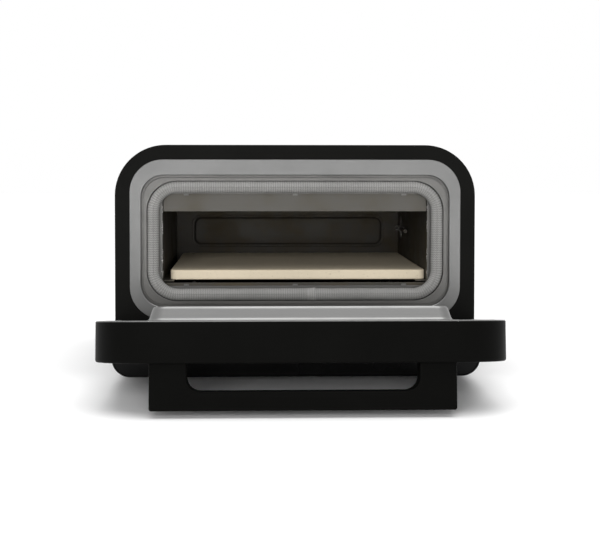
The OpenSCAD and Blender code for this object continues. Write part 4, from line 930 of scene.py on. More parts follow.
def ear_slots(clear, y0, y1, z0, z1, place, more=()):
    """Cutter for the hinge ears: one box at each ear, and any more boxes."""
    low, high = spans("hinge_pins")
    middle = (low[0] + high[0]) / 2 - MID_X
    parts = [((x + middle - clear, y0, z0), (x + middle + clear, y1, z1)) for x in (-EAR_X, EAR_X)]
    return move_mesh(boxes("cutter", parts + list(more)), place)


def build_fascia():
    """Painted front sheet with a rounded outer edge and a flange behind it."""
    t, gap, sheet = SIZES["fascia"], SIZES["gap"], SIZES["sheet"]
    back = t + SIZES["flange"]
    rings = [(ring(edge_body(0), t), 0), (ring(edge_body(0), 0), 0.0011),
             (ring(edge_frame(-gap), 0), 0.0004), (ring(edge_frame(-gap), t), 0),
             (ring(edge_body(2 * sheet + gap), t), 0), (ring(edge_body(2 * sheet + gap), back), 0),
             (ring(edge_body(sheet + gap), back), 0), (ring(edge_body(sheet + gap), t), 0)]
    under = ((-HALF_W, t + 0.00005, 0.0), (HALF_W, 0.03, SIZES["lap"]))
    reach = SIZES["ear_reach"]
    cutter = ear_slots(SIZES["ear_half"], -0.01, t + 0.001, HINGE_Z - reach, HINGE_Z + reach, on_body,
                       (under,))
    add_sheet("front_face", rings, on_body, "oven", "black_paint", ("front_fascia",), cut=cutter)


def build_frame():
    """Steel frame with its inner edge folded back into the channel's groove."""
    t, fold = SIZES["fascia"], sizes().fold_radius
    rings = [(ring(edge_frame(0), t), 0), (ring(edge_frame(0), 0), 0.0005),
             (ring(edge_rim(0), 0), fold), (ring(edge_rim(0), 0.0034), 0.0003),
             (ring(edge_rim(-0.0009), 0.0034), 0), (ring(edge_rim(-0.0009), t), 0)]
    add_sheet("steel_frame", rings, on_body, "oven", "frame_steel", ("front_frame",), steps=5)


def build_channel():
    """Stepped channel of the seal: a groove beside the frame, a ledge beside the rope, and a floor."""
    t, sheet, floor, lip = SIZES["fascia"], SIZES["sheet"], SIZES["channel_floor"], SIZES["lip_y"]
    groove, groove_end, side = SIZES["groove_y"], SIZES["groove_end"], -0.0015
    ledge, ledge_end, under = SIZES["ledge_y"], SIZES["ledge_end"], -SIZES["under_frame"]
    back, back_end = 0.0068, 0.0048
    rings = [(ring(edge_frame(under), t), 0), (ring(edge_rim(side), t), 0.0003),
             (ring(edge_rim(side), groove), 0.0004), (ring(edge_rim(groove_end), groove), 0.0004),
             (ring(edge_rim(groove_end + 0.0001), ledge), 0.0006),
             (ring(edge_ledge(ledge_end), ledge), 0.0008),
             (ring(edge_ledge(ledge_end + 0.0002), floor), 0.0020), (ring(edge_mouth(), floor), 0.0002),
             (ring(edge_mouth(), lip), 0), (ring(edge_rim(back_end + 0.0001), lip), 0.0015),
             (ring(edge_rim(back_end - 0.0001), back), 0), (ring(edge_rim(side - sheet), back), 0),
             (ring(edge_rim(side - sheet), t + sheet), 0), (ring(edge_frame(under), t + sheet), 0)]
    cutter = ear_slots(0.020, -0.001, lip + 0.001, 0.0, 0.073, on_body)
    add_sheet("seal_channel", rings, on_body, "oven", "channel_steel", ("gasket_channel",), cut=cutter)


def chain(points):
    """Mesh of edges from point to point, given on the body."""
    mesh = bpy.data.meshes.new("chain")
    mesh.from_pydata([tuple(p) for p in on_body(points)], [(i, i + 1) for i in range(len(points) - 1)], [])
    return mesh


def build_rope():
    """Knitted seal rope, which starts and ends under its sleeve."""
    s = sizes()
    low, high = spans("gasket_sleeve")
    joint, w, y = (low[0] + high[0]) / 2 - MID_X, SIZES["rope_half_w"], SIZES["rope_y"]
    z0, z1 = SIZES["rope_low"], SIZES["rope_high"]
    corners = [(joint, y, z0), (w, y, z0), (w, y, z1), (-w, y, z1), (-w, y, z0), (joint - 0.0002, y, z0)]
    mesh = grown_mesh(rope_group(), chain(corners), bend=s.rope_corner, radius=s.rope_radius,
                      course=s.knit_course, sides=44, rib=0.00022, drift=0.0009, tilt=s.rope_tilt,
                      material=finish_of("rope"))
    smooth(mesh, 60.0)
    add_piece("seal_rope", mesh, "oven", "rope", ("door_gasket",))


def build_sleeve():
    """Cloth sleeve over the rope's joint, with a ragged hem in its middle and a thinner part beyond."""
    low, high = spans("gasket_sleeve")
    sides = 48
    turns = np.linspace(0.0, math.tau, sides, endpoint=False)
    ragged = np.random.default_rng(5).normal(0.0, 0.00035, sides)
    rings, knit = [], []
    radius = (high[2] - low[2]) / 2
    x0, x1 = low[0] - MID_X, high[0] - MID_X
    hem = (x0 + x1) / 2
    ends = [(x0, -0.0011, 0.0), (x0 + 0.004, -0.0007, 0.0), (hem - 0.004, -0.0001, 0.3),
            (hem - 0.0010, 0.0001, 1.0), (hem - 0.0004, 0.0003, 1.0), (hem, 0.0, 1.0),
            (hem + 0.0001, -0.0010, 1.0), (x1 - 0.002, -0.0011, 0.0), (x1, -0.0014, 0.0)]
    for x, drop, rag in ends:
        r = radius + drop
        rings.append(np.column_stack([x - np.abs(ragged) * rag, SIZES["rope_y"] + r * np.cos(turns),
                                      SIZES["rope_low"] + r * np.sin(turns)]))
        knit += [(t / math.tau, x - x0, 0.0) for t in turns]
    mesh = loft("sleeve", rings, closed=False)
    store = mesh.attributes.new("knit", "FLOAT_VECTOR", "POINT")
    store.data.foreach_set("vector", np.array(knit).ravel())
    smooth(move_mesh(mesh, on_body), 50.0)
    add_piece("rope_sleeve", mesh, "oven", "rope", ("gasket_sleeve",), finish_of("sleeve"))


def build_back_wall():
    """Back wall of the cavity with its embossed panel and the holes of the elements."""
    low, high = spans("cavity_back_wall")
    half_w, y, back = (high[0] - low[0]) / 2, spans("cavity_left_wall")[1][1] - FACE_Y, high[1] - FACE_Y
    half_panel, mid_z, half_h, corner = (SIZES[k] for k in ("emboss_half_w", "emboss_z", "emboss_half_h",
                                                            "emboss_r"))
    depth, slope, groove = SIZES["emboss_depth"], 0.0010, 0.0024

    def panel(inset):
        """Outline of the embossed panel, set in."""
        r = corner - inset * 0.6
        return outline(half_panel - inset, mid_z - half_h + inset, mid_z + half_h - inset, r, r)

    plate = outline(half_w, low[2], high[2], 0.0005, 0.0005)
    rings = [(ring(plate, back), 0), (ring(plate, y), 0), (ring(panel(0), y), 0.0006),
             (ring(panel(slope), y + depth), 0.0005), (ring(panel(slope + groove), y + depth), 0.0005),
             (ring(panel(0.0050), y - depth), 0.0012), (ring(panel(0.0100), y - 0.0009), 0)]
    bm = bmesh.new()
    for x in (-SIZES["element_half"], SIZES["element_half"]):
        for z in (spans("upper_element"), spans("lower_element")):
            middle = (z[0][2] + z[1][2]) / 2
            turn = Matrix.Translation((x, y, middle)) @ Matrix.Rotation(math.radians(90.0), 4, "X")
            bmesh.ops.create_cone(bm, cap_ends=True, segments=32, radius1=SIZES["element_hole"],
                                  radius2=SIZES["element_hole"], depth=0.02, matrix=turn)
    cutter = bpy.data.meshes.new("cutter")
    bm.to_mesh(cutter)
    bm.free()
    mesh = carve(loft("back_wall", soften(rings), closed=False, caps=True), cutter)
    smooth(move_mesh(mesh, on_body))
    even_normals(add_piece("cavity_back", mesh, "oven", "cavity_steel", ("cavity_back_wall",)))


def burr_group():
    """Small irregular flakes of metal along a chain of edges."""
    tree, given, out = node_group("Burrs", [
        ("Pitch", "NodeSocketFloat", 0.0013), ("Size", "NodeSocketFloat", 0.0012),
        ("Seed", "NodeSocketInt", 7), ("Material", "NodeSocketMaterial", None)])
    line = add_node(tree, "GeometryNodeMeshToCurve", {"Mesh": given["Geometry"]}).outputs[0]
    points = add_node(tree, "GeometryNodeResampleCurve", {"Curve": line, "Length": given["Pitch"]},
                      mode="LENGTH")
    flake = add_node(tree, "GeometryNodeMeshIcoSphere", {"Radius": given["Size"], "Subdivisions": 1})
    turn = add_node(tree, "FunctionNodeRandomValue",
                    {0: (0.0, 0.0, 0.0), 1: (3.0, 3.0, 3.0), "Seed": given["Seed"]},
                    data_type="FLOAT_VECTOR").outputs[0]
    size = add_node(tree, "FunctionNodeRandomValue",
                    {0: (0.15, 0.25, 0.3), 1: (0.9, 0.8, 1.5), "Seed": given["Seed"]},
                    data_type="FLOAT_VECTOR").outputs[0]
    copies = add_node(tree, "GeometryNodeInstanceOnPoints",
                      {"Points": points.outputs[0], "Instance": flake.outputs[0], "Rotation": turn,
                       "Scale": size}).outputs[0]
    real = add_node(tree, "GeometryNodeRealizeInstances", {"Geometry": copies}).outputs[0]
    done = add_node(tree, "GeometryNodeSetMaterial", {"Geometry": real, "Material": given["Material"]})
    tree.links.new(done.outputs[0], out[0])
    return tree


def build_burrs():
    """Ragged metal along the front edges of the cavity's side walls, in bare steel lightened further as a
    painted glint.
    """
    tree = burr_group()
    y = SIZES["lip_y"] - 0.0004
    edge = MID_X - spans("cavity_left_wall")[1][0] + 0.0002
    offset = 0.002
    runs = ((0.204, 0.211), (0.178, 0.193), (0.141, 0.158), (0.124, 0.131))
    for side, name in ((-1, "left"), (1, "right")):
        bm = bmesh.new()
        for low, high in runs:
            low += offset * (side > 0)
            ends = [bm.verts.new(tuple(p)) for p in on_body([(side * edge, y, low), (side * edge, y, high)])]
            bm.edges.new(ends)
        lines = bpy.data.meshes.new("lines")
        bm.to_mesh(lines)
        bm.free()
        mesh = grown_mesh(tree, lines, seed=7 + side, material=finish_of("bare_edge"))
        add_piece("wall_burrs_" + name, mesh, "oven", "frame_steel", (), finish_of("bare_edge"))


def build_plinth():
    """Enamelled plinth with a raised rim around its front panel."""
    low, high = spans("front_plinth")
    y0, y1, z1 = low[1] - FACE_Y, 0.0, high[2]
    corner = sizes().low_corner

    def edge(side, bottom):
        """Outline of the plinth, set in by its own distance at the sides and at the bottom."""
        return outline(HALF_W - side, BASE_Z + bottom, z1 - bottom, 0.0004, corner - side * 0.9)

    rings = [(ring(edge(0.0036, 0.0021), y0 + 0.0002), 0), (ring(edge(0.0030, 0.0015), y0 + 0.0006), 0),
             (ring(edge(0.0029, 0.0014), y0 + 0.0016), 0), (ring(edge(0.0023, 0.0008), y0 + 0.0016), 0),
             (ring(edge(0.0022, 0.0007), y0), 0.0002), (ring(edge(0.0, 0.0), y0), 0.0008),
             (ring(edge(0.0, 0.0), y1), 0), (ring(edge(0.0015, 0.0015), y1), 0),
             (ring(edge(0.0040, 0.0025), y0 + 0.002), 0)]
    mesh = move_mesh(loft("plinth", soften(rings), closed=False, caps=True), on_body)
    smooth(mesh)
    even_normals(add_piece("plinth", mesh, "oven", "gloss_black", ("front_plinth",)))


def soft_copy(node, slot, voxel=0.003, depth=0.0012):
    """Felted copy of a blanket: rounded all over and slightly lumpy, inside the solid that it replaces."""
    mesh = merged_copy(node)
    holder = bpy.data.objects.new("holder", mesh)
    bpy.context.scene.collection.objects.link(holder)
    remesh = holder.modifiers.new("remesh", "REMESH")
    remesh.mode = "VOXEL"
    remesh.voxel_size = voxel
    relax = holder.modifiers.new("relax", "SMOOTH")
    relax.factor, relax.iterations = 0.5, 6
    bpy.context.view_layer.update()
    soft = bpy.data.meshes.new_from_object(holder.evaluated_get(bpy.context.evaluated_depsgraph_get()))
    bpy.data.objects.remove(holder)
    co = np.zeros(len(soft.vertices) * 3)
    normals = np.zeros(len(soft.vertices) * 3)
    soft.vertices.foreach_get("co", co)
    soft.vertex_normals.foreach_get("vector", normals)
    co, normals = co.reshape(-1, 3), normals.reshape(-1, 3)
    x, y, z = co.T
    wave = (np.sin(x * 190 + 3 * np.sin(y * 90)) + np.sin(y * 230 + 2 * np.sin(z * 170))
            + np.sin(z * 210 + x * 60))
    co = co - normals * (depth * (0.5 + wave / 6.0))[:, None]
    soft.vertices.foreach_set("co", co.ravel())
    soft.update()
    smooth(soft, 70.0)
    obj = add_piece(node + "_felt", soft, body_of(node), slot, (node,))
    return obj


def build_loom():
    """Woven sleeves of the leads, from the inlet to the block and from there up to the controls."""
    tree = bpy.data.node_groups.get("Woven Rope") or rope_group()
    low, high = spans("wiring_loom")
    r = 0.0035
    block_low, block_high = spans("terminal_block")
    x1, x_block = high[0] - MID_X, (block_low[0] + block_high[0]) / 2 - MID_X
    y_block, top_block = (block_low[1] + block_high[1]) / 2 - FACE_Y, block_high[2]
    y_front, y_back = low[1] - FACE_Y + r, high[1] - FACE_Y
    runs = [(0.008, [(low[0] - MID_X + r, y_back, 0.039), (low[0] - MID_X + r, y_block, 0.039),
                     (low[0] - MID_X + r, y_block, top_block)]),
            (0.012, [(x_block, y_block, top_block + r), (x1 - r, y_block, top_block + r),
                     (x1 - r, y_front, top_block + r), (x1 - r, y_front, high[2])])]
    for number, (bend, points) in enumerate(runs):
        mesh = grown_mesh(tree, chain(points), bend=bend, radius=r - 0.0002,
                          material=finish_of("loom_sleeve"))
        smooth(mesh, 60.0)
        obj = add_piece("loom_%d" % number, mesh, "oven", "loom_sleeve")
        if number == 0:
            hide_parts("wiring_loom")


def screw_head(radius, height):
    """Domed screw head with a cross recess, its seat at the origin and its top along Z."""
    profile = [(0.0, height), (radius * 0.5, height * 0.93), (radius * 0.85, height * 0.6),
               (radius, height * 0.2), (radius, 0.0)]
    turns = np.linspace(0.0, math.tau, 32, endpoint=False)
    rings = [np.column_stack([max(r, 1e-5) * np.cos(turns), max(r, 1e-5) * np.sin(turns), np.full(32, z)])
             for r, z in profile]
    mesh = loft("head", rings, closed=False, caps=True)
    arm, half, deep = radius * 0.55, radius * 0.13, height * 0.45
    cutter = boxes("cross", [((-arm, -half, height - deep), (arm, half, height + 0.001)),
                             ((-half, -arm, height - deep), (half, arm, height + 0.001))])
    mesh = carve(mesh, cutter)
    smooth(mesh, 30.0)
    return mesh


def add_screws(name, node, body, points, turn, radius, height):
    """Screw heads at points given at the frame's origin, turned alike, with a random spin each."""
    tree = bpy.data.node_groups.get("Fasteners") or scatter_group()
    head = bpy.data.objects.new("head", screw_head(radius, height))
    bpy.context.scene.collection.objects.link(head)
    marks = bpy.data.meshes.new("marks")
    marks.from_pydata([tuple(p) for p in points], [], [])
    mesh = grown_mesh(tree, marks, head=head, turn=turn, material=finish_of("screw_steel"))
    bpy.data.objects.remove(head)
    smooth(mesh, 30.0)
    return add_piece(name, mesh, body, "screw_steel", (node,))


# Pieces of the door


def edge_door(inset, y, floor=None):
    """Outline of the door at a depth y. Its lower end is round about the hinge."""
    r = sizes().top_corner + (DOOR_HALF_W - HALF_W)
    end = DOOR_T / 2 - inset
    away = min(abs(y - HINGE_Y), end)
    z0 = HINGE_Z - math.sqrt(max(end * end - away * away, 0.0)) if floor is None else floor
    return outline(DOOR_HALF_W - inset, z0, DOOR_TOP - inset, r - inset, 0.0003)


def edge_window(half_w, half_h, r):
    """Outline of an opening around the window's middle."""
    z = SIZES["window_z"]
    return outline(half_w, z - half_h, z + half_h, r, r)


def door_ears():
    """Cutter for the room in which the hinge ears swing."""
    reach = SIZES["ear_reach"]
    return ear_slots(SIZES["ear_half"], HINGE_Y - reach, 0.002, 0.0, HINGE_Z + reach, on_door)


def build_door_skin():
    """Painted outer skin: rounded around its face, round about the hinge, with the window opening."""
    front, back, t = HINGE_Y - DOOR_T / 2, -0.002, SIZES["sheet"]
    more = SIZES["opening_more"]
    opening = edge_window(SIZES["window_half_w"] + more, SIZES["window_half_h"] + more, SIZES["opening_r"])
    outer = [HINGE_Y - DOOR_T / 2 * math.cos(math.radians(a)) for a in (155, 140, 120, 100, 80, 60, 45, 32)]
    rings = [(ring(edge_door(0, back), back), 0.0003)]
    rings += [(ring(edge_door(0, y), y), 0) for y in outer]
    rings += [(ring(edge_door(0, front), front), sizes().door_edge), (ring(opening, front), 0.0005),
              (ring(opening, front + t), 0), (ring(edge_door(t, front + t, HINGE_Z), front + t), 0)]
    inner = [HINGE_Y - (DOOR_T / 2 - t) * math.cos(math.radians(a)) for a in (35, 60, 90, 120)]
    rings += [(ring(edge_door(t, y), y), 0) for y in inner]
    rings += [(ring(edge_door(t, back, HINGE_Z - 0.0005), back), 0)]
    add_sheet("door_outer_skin", rings, on_door, "door", "door_paint", ("door_skin",), steps=5,
              cut=door_ears())


def build_door_liner():
    """Satin inner sheet with the raised pan, all its folds rounded."""
    back, front, s = -0.002, -0.001, SIZES
    top = s["pan_half_w"], s["pan_low"], s["pan_high"], s["pan_r"]
    fillet = sizes().pan_fillet

    def pan(inset):
        """Outline of the pan, set in."""
        half_w, z0, z1, r = top
        return outline(half_w - inset, z0 + inset, z1 - inset, r - inset * 0.3, r - inset * 0.3)

    slope, height = s["pan_slope"], s["pan_rise"]
    window = edge_window(s["window_half_w"], s["window_half_h"], s["window_r"])
    rim = edge_door(0.0006, front, HINGE_Z)
    rings = [(ring(rim, back), 0), (ring(rim, front), 0.0003), (ring(pan(0), front), fillet),
             (ring(pan(slope), height), fillet), (ring(window, height), 0.0007),
             (ring(window, height - 0.001), 0),
             (ring(pan(slope + 0.001), height - 0.001), fillet * 0.8), (ring(pan(0.001), back), fillet)]
    add_sheet("door_inner_sheet", rings, on_door, "door", "liner_steel", ("door_liner",), steps=6,
              cut=door_ears())


def edge_handle(inset):
    """Outline of the handle in X and Y with the door shut: a wide U, set in all round."""
    half_w, slot = HANDLE_HALF_W - inset, SIZES["slot_half"] + inset
    near, far = HINGE_Y - DOOR_T / 2, HINGE_Y - DOOR_T / 2 - HANDLE_REACH + inset
    inner = near - SIZES["slot_depth"] - inset
    outer_r, slot_r = max(SIZES["handle_r"] - inset, 0.0004), SIZES["slot_r"] + inset
    arc = np.linspace(0.0, math.pi / 2, 8)
    points = [(half_w, near)]
    points += [(half_w - outer_r + outer_r * math.cos(a), far + outer_r - outer_r * math.sin(a)) for a in arc]
    points += [(-half_w + outer_r - outer_r * math.sin(a), far + outer_r - outer_r * math.cos(a)) for a in arc]
    points += [(-half_w, near), (-slot, near)]
    points += [(-slot + slot_r - slot_r * math.cos(a), inner + slot_r - slot_r * math.sin(a)) for a in arc]
    points += [(slot - slot_r + slot_r * math.sin(a), inner + slot_r - slot_r * math.cos(a)) for a in arc]
    points += [(slot, near)]
    return np.array(points)


def build_handle():
    """Wide bar handle on two legs, rounded most along its front."""
    soft = sizes().handle_edge
    z0, z1 = HANDLE_Z

    def level(inset, z):
        """The handle's outline at a height along the door."""
        xy = edge_handle(inset)
        return np.column_stack([xy[:, 0], xy[:, 1], np.full(len(xy), z)])

    rings = [(level(soft * 1.6, z0), 0), (level(0, z0), soft * 0.6), (level(0, z1), soft),
             (level(soft * 1.6, z1), 0)]
    mesh = move_mesh(loft("handle", soften(rings, 6), closed=False, caps=True), on_door)
    smooth(mesh, 40.0)
    even_normals(add_piece("handle_bar", mesh, "door", "handle_black", ("door_handle",)))


# Remaining pieces


def build_shell():
    """Wrap, back panel, tray and feet, with their edges rounded."""
    rounded_copy("outer_shell", "black_paint", 0.0004)
    rounded_copy("back_panel", "black_paint", 0.0005)
    rounded_copy("base_pan", "black_paint", 0.0003)
    rounded_copy("feet", "rubber", 0.0008, 3)
    low, high = spans("shell_screws")
    y = spans("back_panel")[1][1]
    places = [(x, y, z) for x in (MID_X - HALF_W + 0.009, MID_X + HALF_W - 0.009)
              for z in (low[2] + 0.006, high[2] - 0.006)]
    add_screws("back_screw_heads", "shell_screws", "oven", places, (math.radians(-90.0), 0.0, 0.0), SCREW_R,
               SCREW_H)


def build_cavity():
    """Cavity sheets, ledges, stone, elements and the probe."""
    for node in ("cavity_floor", "cavity_ceiling", "cavity_left_wall", "cavity_right_wall", "stone_rails"):
        rounded_copy(node, "cavity_steel", 0.0003)
    build_back_wall()
    build_burrs()
    rounded_copy("heat_shield", "shield_steel", 0.0004, 3)
    rounded_copy("mouth_tabs", "channel_steel", 0.0002)
    rounded_copy("pizza_stone", "stone", sizes().stone_edge, 4)
    for node in ("upper_element", "lower_element"):
        rounded_copy(node, "element_steel", 0.0)
    for node in ("element_clips", "probe_bracket", "hinge_brackets"):
        rounded_copy(node, "clip_steel", 0.0003)
    rounded_copy("thermostat_probe", "probe_steel", 0.0)


def build_controls():
    """Control plate with its knobs, lamp and screws, and the power inlet."""
    rounded_copy("control_plate", "plate_steel", 0.0005, 3)
    for node in ("temperature_knob", "timer_knob"):
        rounded_copy(node, "knob_black", 0.0008, 3)
    rounded_copy("indicator_lamp", "lamp_red", 0.0003)
    rounded_copy("power_inlet", "inlet_black", 0.0005)
    low, high = spans("control_screws")
    x = spans("control_plate")[1][0]
    places = [(x, y, z) for y in (low[1] + SCREW_R, high[1] - SCREW_R)
              for z in (low[2] + SCREW_R, high[2] - SCREW_R)]
    add_screws("plate_screw_heads", "control_screws", "oven", places, (0.0, math.radians(90.0), 0.0), SCREW_R,
               SCREW_H)


def build_dial_marks():
    """Ticks printed on the control plate around each knob, longer at the ends of its turn."""
    face = spans("control_plate")[1][0]
    thick, wide, short, long, gap = 0.0003, 0.0008, 0.0026, 0.0040, 0.0042
    for knob, sweep, count in (("temperature_knob", 270.0, 10), ("timer_knob", 300.0, 11)):
        low, high = spans(knob)
        middle = Matrix.Translation((face, (low[1] + high[1]) / 2, (low[2] + high[2]) / 2))
        out = Matrix.Translation((0.0, 0.0, (high[2] - low[2]) / 2 + gap))
        bm = bmesh.new()
        for i in range(count):
            size = Matrix.Diagonal((thick, wide, long if i in (0, count - 1) else short, 1.0))
            turn = Matrix.Rotation(-math.radians(sweep * i / (count - 1)), 4, "X")
            bmesh.ops.create_cube(bm, size=1.0, matrix=middle @ turn @ out @ size)
        mesh = bpy.data.meshes.new("ticks")
        bm.to_mesh(mesh)
        bm.free()
        add_piece(knob.replace("knob", "ticks"), mesh, "oven", "plate_steel", (), finish_of("print"))


def build_hinges():
    """Pins, bushes, blocks and bumpers of the hinge."""
    rounded_copy("hinge_pins", "spindle_steel", 0.0005)
    rounded_copy("hinge_bushes", "bush_brass", 0.0002)
    rounded_copy("door_hinge_blocks", "hinge_metal", 0.0005)
    rounded_copy("door_bumpers", "rubber", 0.0008, 3)


def build_door_rest():
    """Glass, duct and screws of the door."""
    rounded_copy("outer_glass", "glass", 0.0005)
    rounded_copy("inner_glass", "glass", 0.0005)
    rounded_copy("window_duct", "clip_steel", 0.0002)
    side = DOOR_HALF_W - 0.012
    marks = ((HANDLE_HALF_W, DOOR_TOP - 0.014), (side, HINGE_Z + 0.030), (side, 0.2145))
    points = on_door([(s * x, -0.001, z) for s in (-1, 1) for x, z in marks])
    add_screws("inner_sheet_screws", "door_screws", "door", points,
               (SWING - math.radians(90.0), 0.0, 0.0), SCREW_R, 0.0004)


def dress_hidden():
    """Finishes on the CAD solids that stay, deep inside."""
    slots = {"foot_screws": "screw_steel", "hinge_screws": "screw_steel", "handle_screws": "screw_steel",
             "element_terminals": "ceramic", "terminal_block": "ceramic", "thermostat": "switch_plastic",
             "timer": "switch_plastic", "temperature_spindle": "spindle_steel",
             "timer_spindle": "spindle_steel", "thermal_cutout": "knob_black"}
    for node, slot in slots.items():
        mesh = frame["nodes"][node].data
        mesh.materials.clear()
        mesh.materials.append(finish_of(slot))


def build_blankets():
    """Felted blankets around the cavity and in the door."""
    for side in ("top", "bottom", "left", "right", "back"):
        soft_copy("insulation_" + side, "blanket")
    soft_copy("door_insulation", "blanket")


# Stage


CAMERA_AT = (-0.05416, -1.64999, 0.26746)
CAMERA_PITCH, CAMERA_YAW, CAMERA_ROLL = 0.039, 0.036, 0.001
CAMERA_LENS = 81.21
CAMERA_SHIFT = -0.111


def stage_floor():
    """Wide pale table top."""
    mesh = bpy.data.meshes.new("table_top")
    reach = 9.0
    mesh.from_pydata([(-reach, -reach, 0.0), (reach, -reach, 0.0), (reach, reach, 0.0), (-reach, reach, 0.0)],
                     [], [(0, 1, 2, 3)])
    finish = Finish("stage_white", (0.94, 0.94, 0.94), 0.75, specular=0.2)
    grain = finish.use("Paint Grain", cloud_scale=3.0)
    finish.set("Base Color", finish.mix(grain["Cloud"], (0.935, 0.935, 0.935), (0.945, 0.945, 0.945)))
    mesh.materials.append(finish.material)
    floor = bpy.data.objects.new("table_top", mesh)
    bpy.context.scene.collection.objects.link(floor)
    return floor


def stage_light(name, place, target, size, power):
    """Soft square light that faces a point."""
    data = bpy.data.lights.new(name, "AREA")
    data.shape, data.size, data.energy = "SQUARE", size, power
    light = bpy.data.objects.new(name, data)
    bpy.context.scene.collection.objects.link(light)
    light.location = place
    light.rotation_euler = (Vector(target) - Vector(place)).to_track_quat("-Z", "Y").to_euler()
    return light


def stage_world():
    """White surroundings, at full strength where they are seen or mirrored and dimmer as fill light."""
    world = bpy.data.worlds.new("surroundings")
    bpy.context.scene.world = world
    world.use_nodes = True
    tree = world.node_tree
    background = tree.nodes["Background"]
    rays = tree.nodes.new("ShaderNodeLightPath").outputs
    fill = remap(tree, rays["Is Diffuse Ray"], 0.0, 1.0, 1.0, 0.5)
    background.inputs["Color"].default_value = (1.0, 1.0, 1.0, 1.0)
    tree.links.new(fill, background.inputs["Strength"])


def stage_camera():
    """Camera that takes the photograph's view."""
    data = bpy.data.cameras.new("view")
    camera = bpy.data.objects.new("view", data)
    bpy.context.scene.collection.objects.link(camera)
    pitch, yaw = CAMERA_PITCH, CAMERA_YAW
    ahead = Vector((math.sin(yaw) * math.cos(pitch), math.cos(yaw) * math.cos(pitch), -math.sin(pitch)))
    right = Vector((math.cos(yaw), -math.sin(yaw), 0.0))
    up = right.cross(ahead)
    turn = Matrix((right, up, -ahead)).transposed().to_4x4()
    place = Vector(on_body([CAMERA_AT])[0])
    camera.matrix_world = Matrix.Translation(place) @ turn @ Matrix.Rotation(CAMERA_ROLL, 4, "Z")
    data.lens, data.sensor_width, data.shift_y = CAMERA_LENS, 36.0, CAMERA_SHIFT
    data.clip_start, data.clip_end = 0.05, 60.0
    bpy.context.scene.camera = camera
    return camera


def build_stage():
    """Table top, lights, surroundings, camera and view settings."""
    scene = bpy.context.scene
    scene.view_settings.view_transform = "Standard"
    floor = stage_floor()
    sun_data = bpy.data.lights.new("overhead", "SUN")
    sun_data.energy, sun_data.angle = 2.1, math.radians(60.0)
    sun = bpy.data.objects.new("overhead", sun_data)
    scene.collection.objects.link(sun)
    sun.rotation_euler = (math.radians(8.0), math.radians(4.0), 0.0)
    front = stage_light("front_light", (-0.25, -2.5, 0.46), (0.0, -0.1, 0.1), 1.1, 60.0)
    front.visible_glossy = False
    stage_world()
    stage_camera()


# Operators


class OVEN_OT_front_face(Operator):
    """Build the painted front sheet and the plinth"""

    bl_idname = "oven.front_face"
    bl_label = "Front Face"
    bl_options = {"REGISTER", "UNDO"}

    def execute(self, context):
        build_fascia()
        build_plinth()
        return {"FINISHED"}


class OVEN_OT_steel_frame(Operator):
    """Build the steel frame around the mouth"""

    bl_idname = "oven.steel_frame"
    bl_label = "Steel Frame"
    bl_options = {"REGISTER", "UNDO"}

    def execute(self, context):
        build_frame()
        return {"FINISHED"}


class OVEN_OT_seal(Operator):
    """Build the stepped channel, the knitted rope and its sleeve"""

    bl_idname = "oven.seal"
    bl_label = "Seal"
    bl_options = {"REGISTER", "UNDO"}

    def execute(self, context):
        build_channel()
        build_rope()
        build_sleeve()
        return {"FINISHED"}


class OVEN_OT_shell(Operator):
    """Build the wrap, the back panel, the tray, the feet and their screws"""

    bl_idname = "oven.shell"
    bl_label = "Shell"
    bl_options = {"REGISTER", "UNDO"}

    def execute(self, context):
        build_shell()
        return {"FINISHED"}


class OVEN_OT_cavity(Operator):
    """Build the cavity sheets, the stone, the elements and the probe"""

    bl_idname = "oven.cavity"
    bl_label = "Cavity"
    bl_options = {"REGISTER", "UNDO"}

    def execute(self, context):
        build_cavity()
        return {"FINISHED"}


class OVEN_OT_blankets(Operator):
    """Build the felted blankets around the cavity and in the door"""

    bl_idname = "oven.blankets"
    bl_label = "Blankets"
    bl_options = {"REGISTER", "UNDO"}

    def execute(self, context):
        build_blankets()
        return {"FINISHED"}


class OVEN_OT_controls(Operator):
    """Build the control plate, the knobs, the lamp and the inlet"""

    bl_idname = "oven.controls"
    bl_label = "Controls"
    bl_options = {"REGISTER", "UNDO"}

    def execute(self, context):
        build_controls()
        build_dial_marks()
        return {"FINISHED"}


class OVEN_OT_wiring(Operator):
    """Build the woven sleeves of the leads"""

    bl_idname = "oven.wiring"
    bl_label = "Wiring"
    bl_options = {"REGISTER", "UNDO"}

    def execute(self, context):
        build_loom()
        return {"FINISHED"}


class OVEN_OT_hinges(Operator):
    """Build the hinge pins, bushes, blocks and bumpers"""

    bl_idname = "oven.hinges"
    bl_label = "Hinges"
    bl_options = {"REGISTER", "UNDO"}

    def execute(self, context):
        build_hinges()
        return {"FINISHED"}


class OVEN_OT_door_skin(Operator):
    """Build the door's painted outer skin"""

    bl_idname = "oven.door_skin"
    bl_label = "Door Skin"
    bl_options = {"REGISTER", "UNDO"}

    def execute(self, context):
        build_door_skin()
        return {"FINISHED"}


class OVEN_OT_door_liner(Operator):
    """Build the door's inner sheet with its raised pan"""

    bl_idname = "oven.door_liner"
    bl_label = "Door Inner Sheet"
    bl_options = {"REGISTER", "UNDO"}

    def execute(self, context):
        build_door_liner()
        return {"FINISHED"}


class OVEN_OT_door_window(Operator):
    """Build the door's glass, duct and screws"""

    bl_idname = "oven.door_window"
    bl_label = "Door Window"
    bl_options = {"REGISTER", "UNDO"}

    def execute(self, context):
        build_door_rest()
        return {"FINISHED"}


class OVEN_OT_handle(Operator):
    """Build the door's handle"""

    bl_idname = "oven.handle"
    bl_label = "Handle"
    bl_options = {"REGISTER", "UNDO"}

    def execute(self, context):
        build_handle()
        return {"FINISHED"}


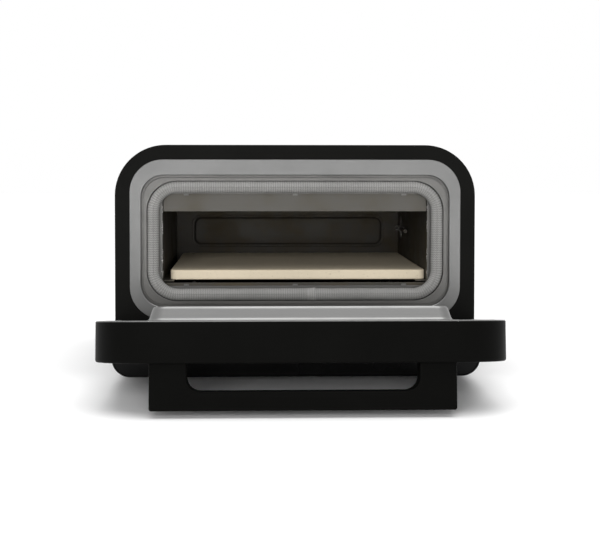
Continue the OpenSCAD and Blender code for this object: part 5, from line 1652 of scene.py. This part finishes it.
class OVEN_OT_hidden(Operator):
    """Put finishes on the solids that stay deep inside"""

    bl_idname = "oven.hidden"
    bl_label = "Inner Parts"
    bl_options = {"REGISTER", "UNDO"}

    def execute(self, context):
        dress_hidden()
        return {"FINISHED"}


class OVEN_OT_stage(Operator):
    """Set up the table top, the light, the surroundings and the camera"""

    bl_idname = "oven.stage"
    bl_label = "Stage"
    bl_options = {"REGISTER", "UNDO"}

    def execute(self, context):
        build_stage()
        return {"FINISHED"}


PIECES = (
    OVEN_OT_front_face,
    OVEN_OT_steel_frame,
    OVEN_OT_seal,
    OVEN_OT_shell,
    OVEN_OT_cavity,
    OVEN_OT_blankets,
    OVEN_OT_controls,
    OVEN_OT_wiring,
    OVEN_OT_hinges,
    OVEN_OT_door_skin,
    OVEN_OT_door_liner,
    OVEN_OT_door_window,
    OVEN_OT_handle,
    OVEN_OT_hidden,
    OVEN_OT_stage,
)


class OVEN_PT_pieces(Panel):
    """Lists the operators and the sizes in the sidebar"""

    bl_idname = "OVEN_PT_pieces"
    bl_label = "Pizza Oven"
    bl_space_type = "VIEW_3D"
    bl_region_type = "UI"
    bl_category = "Pizza Oven"

    def draw(self, context):
        layout = self.layout
        for group in (context.scene.oven_sizes, context.scene.oven_colours):
            for name in group.bl_rna.properties.keys():
                if name not in ("name", "rna_type"):
                    layout.prop(group, name)
        for piece in PIECES:
            layout.operator(piece.bl_idname)


CLASSES = (OvenSizes, OvenColours) + PIECES + (OVEN_PT_pieces,)


def register():
    """Registers the classes and the scene's settings."""
    for item in CLASSES:
        bpy.utils.register_class(item)
    bpy.types.Scene.oven_sizes = PointerProperty(type=OvenSizes)
    bpy.types.Scene.oven_colours = PointerProperty(type=OvenColours)


def unregister():
    """Takes the settings and the classes away again."""
    del bpy.types.Scene.oven_colours
    del bpy.types.Scene.oven_sizes
    for item in reversed(CLASSES):
        bpy.utils.unregister_class(item)


def main():
    """Builds the oven and its stage."""
    register()
    for piece in PIECES:
        group, name = piece.bl_idname.split(".")
        if getattr(getattr(bpy.ops, group), name)() != {"FINISHED"}:
            raise RuntimeError(piece.bl_label + " was not built")


if __name__ == "__main__":
    main()
